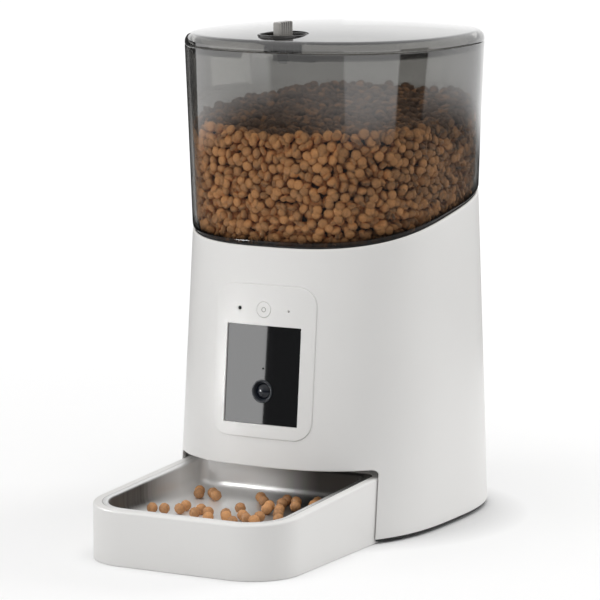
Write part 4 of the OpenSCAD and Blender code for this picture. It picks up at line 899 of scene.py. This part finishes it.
# %% Jar and gasket
JAR_WALL, BRINK, GASKET, SPIGOT = 2.4, 0.8, 1.2, -7.6  # wall, rim's radius, gasket, spigot's depth in mm
HEEL_IN, HEEL_UP = 1.6, 3.0  # the rounded foot's reach inwards and upwards
SPIGOT_OUT, SPIGOT_IN, TAPER_TOP = 2.8, 5.2, 7.2  # insets of the spigot's sides, and where its taper ends
SEAL_OUT, SEAL_IN = 1.2, 2.4  # insets of the gasket's sides
CATCH_X, CATCH_Y, CATCH_Z = 8.0, (-100.7, -96.0), (323.4, 326.4)  # the block that holds the latch's cam
round_turns = np.radians(np.linspace(-90, 270, 257))
quarter = np.linspace(0, pi / 2, 7)


def seam_row(inset, lift):
    """A row of the jar parallel to the seam and lift above it."""
    return jar(round_turns, seam_ring(round_turns, inset)[..., 2] + lift, inset)


def climb(inset, start, stop, rows):
    """Rows up the jar's wall, from start above the seam to the level stop, without the last."""
    low = seam_ring(round_turns, inset)[..., 2] + start
    return [jar(round_turns, low + (stop - low) * k / rows, inset) for k in range(rows)]


def points_of(made):
    """A piece's points in millimetres about the body's axis, which undoes place."""
    spots = np.zeros((len(made.data.vertices), 3))
    made.data.vertices.foreach_get("co", spots.ravel())
    return spots * 1000 - (0.0, SHIFT, 0.0)


heel = [seam_row(HEEL_IN * (1 - np.sin(a)), GASKET + HEEL_UP * (1 - np.cos(a))) for a in quarter]
brink = [jar(round_turns, RIM - BRINK * (1 - np.sin(a)), BRINK * (1 - np.cos(a))) for a in quarter]
inner = [jar(round_turns, RIM, JAR_WALL - BRINK), jar(round_turns, RIM - BRINK, JAR_WALL)]
outside = climb(0.0, GASKET + HEEL_UP, RIM - BRINK, 14)[1:]
inside = climb(JAR_WALL, TAPER_TOP, RIM - BRINK, 14)[::-1]
rows = [seam_row(SPIGOT_OUT, SPIGOT), seam_row(SPIGOT_OUT, GASKET), *heel, *outside, *brink, *inner, *inside,
        seam_row(SPIGOT_IN, SPIGOT), seam_row(SPIGOT_OUT, SPIGOT)]
front, back = CATCH_Y
low, high = CATCH_Z
block = np.array([[-CATCH_X, front], [CATCH_X, front], [CATCH_X, back], [-CATCH_X, back], [-CATCH_X, front]])
middle = np.array([0.0, (front + back) / 2])
levels = ((0, low), (1, low), (1, high), (0, high))
catch = [stack(*((block - middle) * share + middle).T, z) for share, z in levels]
food_jar = piece("food_jar", [np.stack(rows), np.stack(catch)], "feeder_body", "smoke_clear", ["hopper"])
x, y, z = points_of(food_jar).T
paint(food_jar.data, "root", z - SEAM - y * SLANT < 4.6)


def body_row(inset):
    """A row of the body along the seam."""
    return wall(round_turns, seam_ring(round_turns, inset)[..., 2], inset)


band = [body_row(SEAL_OUT), seam_row(SEAL_OUT, GASKET), seam_row(SEAL_IN, GASKET), body_row(SEAL_IN),
        body_row(SEAL_OUT)]
piece("jar_gasket", [np.stack(band)], "feeder_body", "black_rubber", ["hopper_gasket"])

# %% [markdown]
# ## The lid
# The lid is smoky clear as well: a crowned top with a rounded border, a lip over the jar's rim and a skirt
# inside it. A round latch cup passes through it near the front. Rows that shrank to the lid's middle would
# cut across that hole, so the rows run from the hole's edge out to the border, along rays that share the
# border's turns.

# %% Clear lid
LID_TOP, CROWN, LID_R = 335.0, 5.0, 6.0  # the border's height, the crown's rise and the border's radius in mm
CUP_Y, HOLE = -73.0, 17.2  # the latch hole's place and radius
SKIRT_OUT, SKIRT_IN, LID_WALL = 3.57, 5.37, 2.4  # insets of the skirt's sides, and the lid's wall
edge_x, edge_y = oval(round_turns, RIM_PLAN)
bearing = np.arctan2(edge_y - CUP_Y, edge_x)


def crowned(x, y, inset, z):
    """Height of the lid: z at the border and CROWN more in the middle, less by the square of the way out."""
    bx, by = oval(np.arctan2(y, x), RIM_PLAN, inset)
    return z + CROWN * (1 - (x * x + y * y) / (bx * bx + by * by))


def lid_rows(inset, z, radius, count):
    """Rows from the latch hole's edge to the border at an inset, on the crown."""
    out = np.linspace(0, 1, count)[:, None] ** 1.2
    bx, by = oval(round_turns, RIM_PLAN, inset)
    x = radius * np.cos(bearing) * (1 - out) + bx * out
    y = (CUP_Y + radius * np.sin(bearing)) * (1 - out) + by * out
    return list(stack(x, y, crowned(x, y, inset, z)))


notched = np.where((np.abs(edge_x) < 18) & (edge_y < 0), RIM - 0.2, RIM - 5.0)  # higher at the latch
top = lid_rows(LID_R, LID_TOP, HOLE, 14)
shoulder = [rim_ring(round_turns, LID_R * (1 - np.cos(a)), LID_TOP - LID_R * (1 - np.sin(a)))
            for a in quarter[::-1]]
lip_steps = ((0.0, 1.0), (0.15, 0.6), (0.5, 0.4), (SKIRT_OUT, 0.4))  # inset and height over the rim in mm
lip_rows = [rim_ring(round_turns, i, RIM + z) for i, z in lip_steps]
skirt = [rim_ring(round_turns, SKIRT_OUT, notched), rim_ring(round_turns, SKIRT_IN, notched),
         rim_ring(round_turns, SKIRT_IN, LID_TOP - LID_WALL - 1.0)]
under_top = lid_rows(SKIRT_IN, LID_TOP - LID_WALL, HOLE, 14)[::-1]
lid_rings = top + shoulder[1:] + lip_rows + skirt + under_top + top[:1]
piece("clear_lid", [np.stack(lid_rings)], "hopper_lid", "smoke_clear", ["lid"])

# %% The lid's seal
SEAL_GAP = 10.6  # degrees on each side of the latch that the seal leaves free
seal_turns = np.radians(np.linspace(-90 + SEAL_GAP, 270 - SEAL_GAP, 241))
bulge = SKIRT_OUT - 0.5
section = [(SKIRT_OUT, -4.0), (bulge, -3.0), (bulge, -2.2), (SKIRT_OUT, -1.2), (SKIRT_OUT, -4.0)]
band = np.stack([rim_ring(seal_turns, i, RIM + z) for i, z in section])
ends = [np.stack([band[:, k], band[:, k].mean(0) + 0 * band[:, k]]) for k in (0, -1)]
piece("lid_seal_ring", [band, *ends], "hopper_lid", "smoke_silicone", ["lid_seal"])

# %% [markdown]
# ## Latch cup and knob
# The latch is a dark dish let into the lid with a ribbed bar in it, which turns a cam under the jar's rim.
# The dish is a turned profile about an upright axis. The bar is a rounded outline whose long sides wave in
# and out, carried upwards and drawn in at the top.

# %% Dish
def spun(profile, cells=96):
    """A profile of (radius, height) turned about the latch's upright axis."""
    radius, z = np.array(profile, float).T[..., None]
    t = np.linspace(0, 2 * pi, cells + 1)
    return stack(radius * np.cos(t), CUP_Y + radius * np.sin(t), z)


LATCH_Z = LID_TOP + CROWN * (1 - (CUP_Y / RIM_PLAN[1]) ** 2)
DISH = LATCH_Z - 2.6
dish = round_profile([[4.06, DISH], [15.5, DISH], [15.5, LATCH_Z], [17.0, LATCH_Z], [17.0, 332.2],
                      [19.0, 332.2], [19.0, 330.6], [7.0, 330.6], [7.0, 325.0], [4.06, 325.0],
                      [4.06, DISH]], 0.5, 4)
piece("latch_dish", [spun(dish)], "hopper_lid", "dark_plastic", ["latch_cup"])

# %% Bar with its grooves
BAR_W, BAR_L, BAR_R, BAR_H, BAR_TOP = 3.0, 9.0, 1.6, 10.8, 0.9  # half sides, corner, height, top's radius
GROOVE, RIBBED, DEEP = 3.0, 7.5, 0.8  # the grooves' spacing, half the length they cover, and depth in mm


def waves(y):
    """A groove's depth along the bar, from 0 to 1: half of one minus the cosine, and none past RIBBED."""
    return np.where(np.abs(y) < RIBBED, 0.5 * (1 - np.cos(2 * pi * (y / GROOVE - 0.5))), 0.0)


def bar_loop(offset):
    """The bar's outline drawn in by offset, with five grooves along each long side."""
    w = BAR_W - offset
    x, y = rounded_box(w, BAR_L - offset, BAR_R - 0.5 * offset, (6, 72, 8)).T
    return stack(x - np.sign(x) * DEEP * waves(y) * (np.abs(x) > w - 0.05), y)


rise = fillet(BAR_TOP)[::-1]
foot, top = DISH + 0.2, DISH + BAR_H
rounded = [bar_loop(offset) for offset, down in rise]
bar = [bar_loop(0.0) * 0.0, bar_loop(0.0), bar_loop(0.0), *rounded, bar_loop(BAR_TOP) * 0.0]
heights = [foot, foot, top - BAR_TOP, *[top - d for o, d in rise], top]
bar = np.stack([stack(b[:, 0], b[:, 1] + CUP_Y, z) for b, z in zip(bar, heights)])
stem = spun([[1.3, 320.8], [4.0, 320.8], [4.0, foot], [6.4, foot], [6.4, foot + 0.8], [1.3, foot + 0.8],
             [1.3, 320.8]])
knob = piece("latch_bar", [bar, stem], "latch_knob", "grip_plastic", ["lid_knob"])
x, y, z = (points_of(knob) - (0.0, CUP_Y, 0.0)).T
# painted shade: the grooves' depth, stored as groove, darkens the bar's ribbed sides
paint(knob.data, "groove", waves(y) * (np.abs(x) > BAR_W / 2) * (z > DISH + 1.1))

# %% [markdown]
# ## Tray and steel bowl
# The tray is a white surround with a wide rim that rises towards the feeder, and the bowl hangs in it by a
# narrow flange. Both are rounded rectangles carried through a section. The bowl's floor closes towards its
# middle.

# %% Tray
RISE = tan(radians(3.05))  # the rim's slope
TRAY_W, TRAY_FRONT, TRAY_BACK, TRAY_RIM = 75.0, -221.0, -64.0, 36.5  # half width, ends, the rim's front in mm
FRONT_R, BACK_R, LEAST_R = 34.0, 12.0, 7.0  # corners at the front and the back, and the least bend there
ROLL_R, BEAD_R, RIM_IN = 1.5, 0.6, 6.0  # radius of the rim's outer and inner edge, and the rim's width


def tray_loop(inset):
    """The tray's outline drawn in by inset, with its wider front corners and a least bend at the back."""
    return rounded_loop(inset - TRAY_W, TRAY_W - inset, inset + TRAY_FRONT, TRAY_BACK - inset,
                        FRONT_R - inset, max(BACK_R - inset, LEAST_R), 24, 24, 16)


def rim_row(inset, drop):
    """A row parallel to the sloping rim."""
    loop = tray_loop(inset)
    return stack(loop[:, 0], loop[:, 1], TRAY_RIM + (loop[:, 1] - TRAY_FRONT) * RISE + drop)


def flat_row(inset, z):
    """A level row."""
    loop = tray_loop(inset)
    return stack(loop[:, 0], loop[:, 1], z)


roll = [rim_row(ROLL_R * (1 - cos(a)), -ROLL_R * (1 - sin(a))) for a in quarter]
bead = [rim_row(RIM_IN - BEAD_R * (1 - sin(a)), -BEAD_R * (1 - cos(a))) for a in quarter]
section = [flat_row(2.4, 0.0), flat_row(0.6, 0.0), flat_row(0.2, 0.15), flat_row(0.0, 0.6), *roll, *bead,
           rim_row(RIM_IN, -1.0), rim_row(9.2, -1.0), flat_row(9.2, 12.2), flat_row(7.6, 12.2),
           rim_row(7.6, -3.4), rim_row(2.4, -3.4), flat_row(2.4, 0.0)]
piece("tray_surround", [np.stack(section)], "food_tray", "white_abs", ["bowl_tray"])

# %% Steel bowl
BOWL_FLOOR, BOWL_WALL, BOWL_R = 21.5, 0.8, 9.0  # the floor's underside, the sheet and the bend under it
BOWL_IN, LIP_R = 9.6, 1.6  # inset of the bowl's outer side, and the radius of its lip
bend = np.linspace(0, pi / 2, 9)
in_r = BOWL_R - BOWL_WALL
below = [flat_row(BOWL_IN + BOWL_R * (1 - sin(a)), BOWL_FLOOR + BOWL_R * (1 - cos(a))) for a in bend]
above = [flat_row(BOWL_IN + BOWL_R - in_r * sin(a), BOWL_FLOOR + BOWL_R - in_r * cos(a)) for a in bend[::-1]]
turn_in = [rim_row(BOWL_IN + BOWL_WALL - LIP_R * (1 - sin(a)), -0.2 - LIP_R * (1 - cos(a))) for a in quarter]


def closing(row, count=8):
    """Rows from a level loop to the floor's middle."""
    middle = np.array([0.0, (TRAY_FRONT + TRAY_BACK) / 2, row[0, 2]])
    return [middle + (row - middle) * s for s in np.linspace(0, 1, count)]


section = [*closing(below[0]), *below[1:], rim_row(BOWL_IN, -1.0), rim_row(6.2, -1.0), rim_row(6.2, -0.35),
           rim_row(6.35, -0.2), *turn_in, *above, *closing(above[-1])[::-1][1:]]
piece("bowl_shell", [np.stack(section)], "food_tray", "bowl_steel", ["steel_bowl"])

# %% [markdown]
# ## Dry food
# The jar is two thirds full of small round biscuits, and a few lie in the bowl. One biscuit is a flat lens
# with a few dozen faces. Hundreds of copies are turned and moved with one matrix product. Only those near
# the wall and on top can be seen, so a plain dark heap fills the rest.

# %% One biscuit and its copies
chance = np.random.default_rng(7)
ROUND = 10  # points in a ring of a biscuit
LENS = ((0.66, 0.92), (0.98, 0.34))  # girth and height of the upper two rings of a flat biscuit
BALL = ((0.56, 0.83), (0.94, 0.34))  # the same for a round one
# painted shade on each biscuit's rim: its two widest rings get a darker tone
RIM_SHADE = np.array([0.0] * ROUND + [1.0] * 2 * ROUND + [0.0] * (ROUND + 2))  # one on the rim's two rings
here = np.arange(ROUND)
after = (here + 1) % ROUND
band_faces = np.stack([here, after, after + ROUND, here + ROUND], -1)
belt = np.concatenate([band_faces + k * ROUND for k in range(3)])
poles = np.concatenate([np.stack([after, here, 0 * here + 4 * ROUND], -1),
                        np.stack([here + 3 * ROUND, after + 3 * ROUND, 0 * here + 4 * ROUND + 1], -1)])


def biscuit(form):
    """Points of a biscuit of radius and half thickness one: four rings, then the lower and upper pole."""
    (a, b), (c, d) = form
    girth, level = np.array([[a, -b], [c, -d], [c, d], [a, b]]).T[..., None]
    bearings = here * 2 * pi / ROUND
    rings = stack(girth * np.cos(bearings), girth * np.sin(bearings), level)
    return np.concatenate([rings.reshape(-1, 3), [[0, 0, -1], [0, 0, 1]]])


def scatter(name, spots, axes, radius, thick, body, tones, form=LENS, rim_shade=0.3):
    """Copies of a biscuit: each is stretched to its radius and half thickness, its flat axis turned to
    axes, and moved to its spot. A tone per biscuit, from 0 for dark to 1 for light, goes to the material,
    and a painted shade makes its rim darker by the last argument's amount."""
    count = len(spots)
    shape = biscuit(form)
    up = axes / np.linalg.norm(axes, axis=1)[:, None]
    helper = np.where(np.abs(up[:, 2:]) < 0.8, [[0.0, 0.0, 1.0]], [[1.0, 0.0, 0.0]])
    side = np.cross(helper, up)
    side /= np.linalg.norm(side, axis=1)[:, None]
    turn = np.stack([side, np.cross(up, side), up], 1)
    size = np.stack([radius, radius, thick], -1)
    points = spots[:, None] + np.einsum("pk,nk,nkc->npc", shape, size, turn)
    start = np.arange(count)[:, None, None] * len(shape)
    faces = (belt + start).reshape(-1, 4).tolist() + (poles + start).reshape(-1, 3).tolist()
    mesh = bpy.data.meshes.new(name)
    mesh.from_pydata(place(points.reshape(-1, 3)), [], faces)
    paint(mesh, "tone", chance.uniform(*tones, count)[:, None] - rim_shade * RIM_SHADE)
    mesh.shade_smooth()
    mesh.materials.append(finishes["dry_food"])
    made = show(name, mesh)
    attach(made, body)
    print(name, "biscuits", count, "faces", len(faces))


print("faces of one biscuit:", len(belt) + len(poles))

# %% Biscuits against the wall
PITCH, ROW, ROWS = 5.9, 0.86, 18  # mm between biscuits, a row's share of it, and the number of rows
JAR_ROUND = 560  # mm round the jar
SUNK = 3.0  # mm from the heap's top down to the middle of the uppermost biscuits


def heap_height(x, y):
    """Top of the food: a tilted plane that bends up at the back, with slow waves."""
    ripple = 1.6 * np.sin(x / 17 + 1) * np.cos(y / 21)
    return 279.5 + 0.062 * y - 0.016 * x + 0.0005 * np.maximum(y, 0) ** 2 + ripple


def wall_layer(name, depth):
    """Rows of biscuits along the jar's wall at a depth behind it, from the seam up to the heap's top. They
    stand off the wall by their reach towards it, and have painted shade: darker on the right and on the crest
    behind."""
    columns = int(JAR_ROUND / PITCH)
    turn, row = np.meshgrid(np.arange(columns) * 2 * pi / columns, np.arange(ROWS), indexing="ij")
    turn = (turn + (row % 2) * pi / columns + chance.normal(0, 0.4 * pi / columns, turn.shape)).ravel()
    edge = jar(turn, 282.0, 8.0)
    down = (row.ravel() + chance.uniform(-0.4, 0.4, turn.size)) * ROW * PITCH
    z = heap_height(edge[:, 0], edge[:, 1]) - SUNK - down
    lift = z - seam_ring(turn, 0.0)[:, 2]
    keep = lift > -2.0
    turn, z, lift = turn[keep], z[keep], lift[keep]
    out = stack(np.cos(turn), np.sin(turn), 0.0)
    tilt = chance.normal(0, 1, out.shape)
    axes = out * chance.choice([0.2, 1.2, 3.0], len(out))[:, None] + tilt
    radius, thick = chance.uniform(3.4, 3.9, len(out)), chance.uniform(1.6, 2.0, len(out))
    lean = np.abs(np.sum(axes * out, 1)) / np.linalg.norm(axes, axis=1)
    reach = np.sqrt(radius ** 2 * (1 - lean ** 2) + thick ** 2 * lean ** 2)
    taper = np.clip((TAPER_TOP - lift) / (TAPER_TOP - SPIGOT), 0, 1) * (SPIGOT_IN - JAR_WALL)
    spots = jar(turn, z, JAR_WALL + 0.4 + taper + reach + depth)
    # painted shade: the crest at the back and the right side get darker tones
    at_back = np.sin(turn) > -0.3 - 0.5 * (np.cos(turn) < 0)
    crest = at_back & (heap_height(spots[:, 0], spots[:, 1]) - z < 7)
    shade = 0.35 * np.clip((np.cos(turn) - 0.4) / 0.6, 0, 1)
    tones = np.where(crest, 0.0, 0.6 - shade), np.where(crest, 0.25, 1.0 - shade)
    scatter(name, spots, axes, radius, thick, "feeder_body", tones)


wall_layer("food_at_wall", 0.0)
wall_layer("food_behind", 3.6)

# %% Biscuits on top
HEAP_PLAN, TOP_PITCH = (80.0, 87.0, 91.5, 2.7), 6.2  # the heap's outline and the biscuits' spacing in mm
x, y = np.meshgrid(np.arange(-90, 91, TOP_PITCH), np.arange(-96, 100, TOP_PITCH), indexing="ij")
x, y = (a.ravel() + chance.uniform(-1.6, 1.6, a.size) for a in (x, y))
inside = np.hypot(x, y) < np.hypot(*oval(np.arctan2(y, x), HEAP_PLAN))
x, y = x[inside], y[inside]
spots = stack(x, y, heap_height(x, y) - SUNK + chance.normal(0, 1.0, x.size))
axes = chance.normal(0, 0.6, spots.shape) + (0, 0, 0.8)
radius, thick = chance.uniform(3.5, 4.2, len(x)), chance.uniform(2.0, 2.5, len(x))
# painted shade: the biscuits on top get the darkest tones, as if in the lid's shade
scatter("food_on_top", spots, axes, radius, thick, "feeder_body", (0.0, 0.25))

# %% The heap inside
BURIED = 7.0  # mm from the food's top down to the plain heap
foot_steps = ((20.0, -6.0), (11.0, -4.0))  # inset and height over the seam in mm
heap = [jar(round_turns, seam_ring(round_turns, i)[..., 2] + up, i) for i, up in foot_steps]
shore = jar(round_turns, 276.0, 11.0)
inland = [shore * (share, share, 1) for share in (1.0, 0.75, 0.5, 0.25, 0.0)]
for row in inland:
    row[:, 2] = heap_height(row[:, 0], row[:, 1]) - BURIED
base = heap[0] * (0.0, 0.0, 0.0) + (0.0, 0.0, 205.0)
piece("food_heap", [np.stack([base, *heap, *inland])], "feeder_body", "food_shade")

# %% A portion in the bowl
APART, BALL_R, BALL_H = 7.8, 3.9, 3.6  # least distance of two biscuits, their radius and half thickness in mm
drifts = [((2.0, -156.0), (22.0, 7.0), 17), ((26.0, -130.0), (9.0, 9.0), 7), ((20.0, -98.0), (18.0, 5.0), 9),
          ((-44.0, -98.0), (7.0, 6.0), 3)]  # middle, spread and number of biscuits
spots = []
for centre, spread, count in drifts:
    placed = len(spots) + count
    while len(spots) < placed:
        spot = np.array(centre) + chance.normal(0, 1, 2) * spread
        on_floor = abs(spot[0]) < 53 and -198 < spot[1] < -87
        if on_floor and all(np.hypot(*(spot - other)) > APART for other in spots):
            spots.append(spot)
spots = np.array(spots)
spots = stack(spots[:, 0], spots[:, 1], BOWL_FLOOR + BOWL_WALL + 3.7)
axes = chance.normal(0, 1, spots.shape)
scatter("food_in_bowl", spots, axes, np.full(len(spots), BALL_R), np.full(len(spots), BALL_H), "food_tray",
        (0.4, 0.7), BALL, 0.0)

# %% [markdown]
# ## Sizes and the end
# The dressed feeder must stay inside the CAD model's box. The last line prints how far its box lies from
# the CAD model's box, in millimetres.

# %% Compare the boxes and finish
visual_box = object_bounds()
differences = [round(1000 * (v - c), 2) for p, q in zip(visual_box, cad_box) for v, c in zip(p, q)]
print("box differences in mm:", differences)
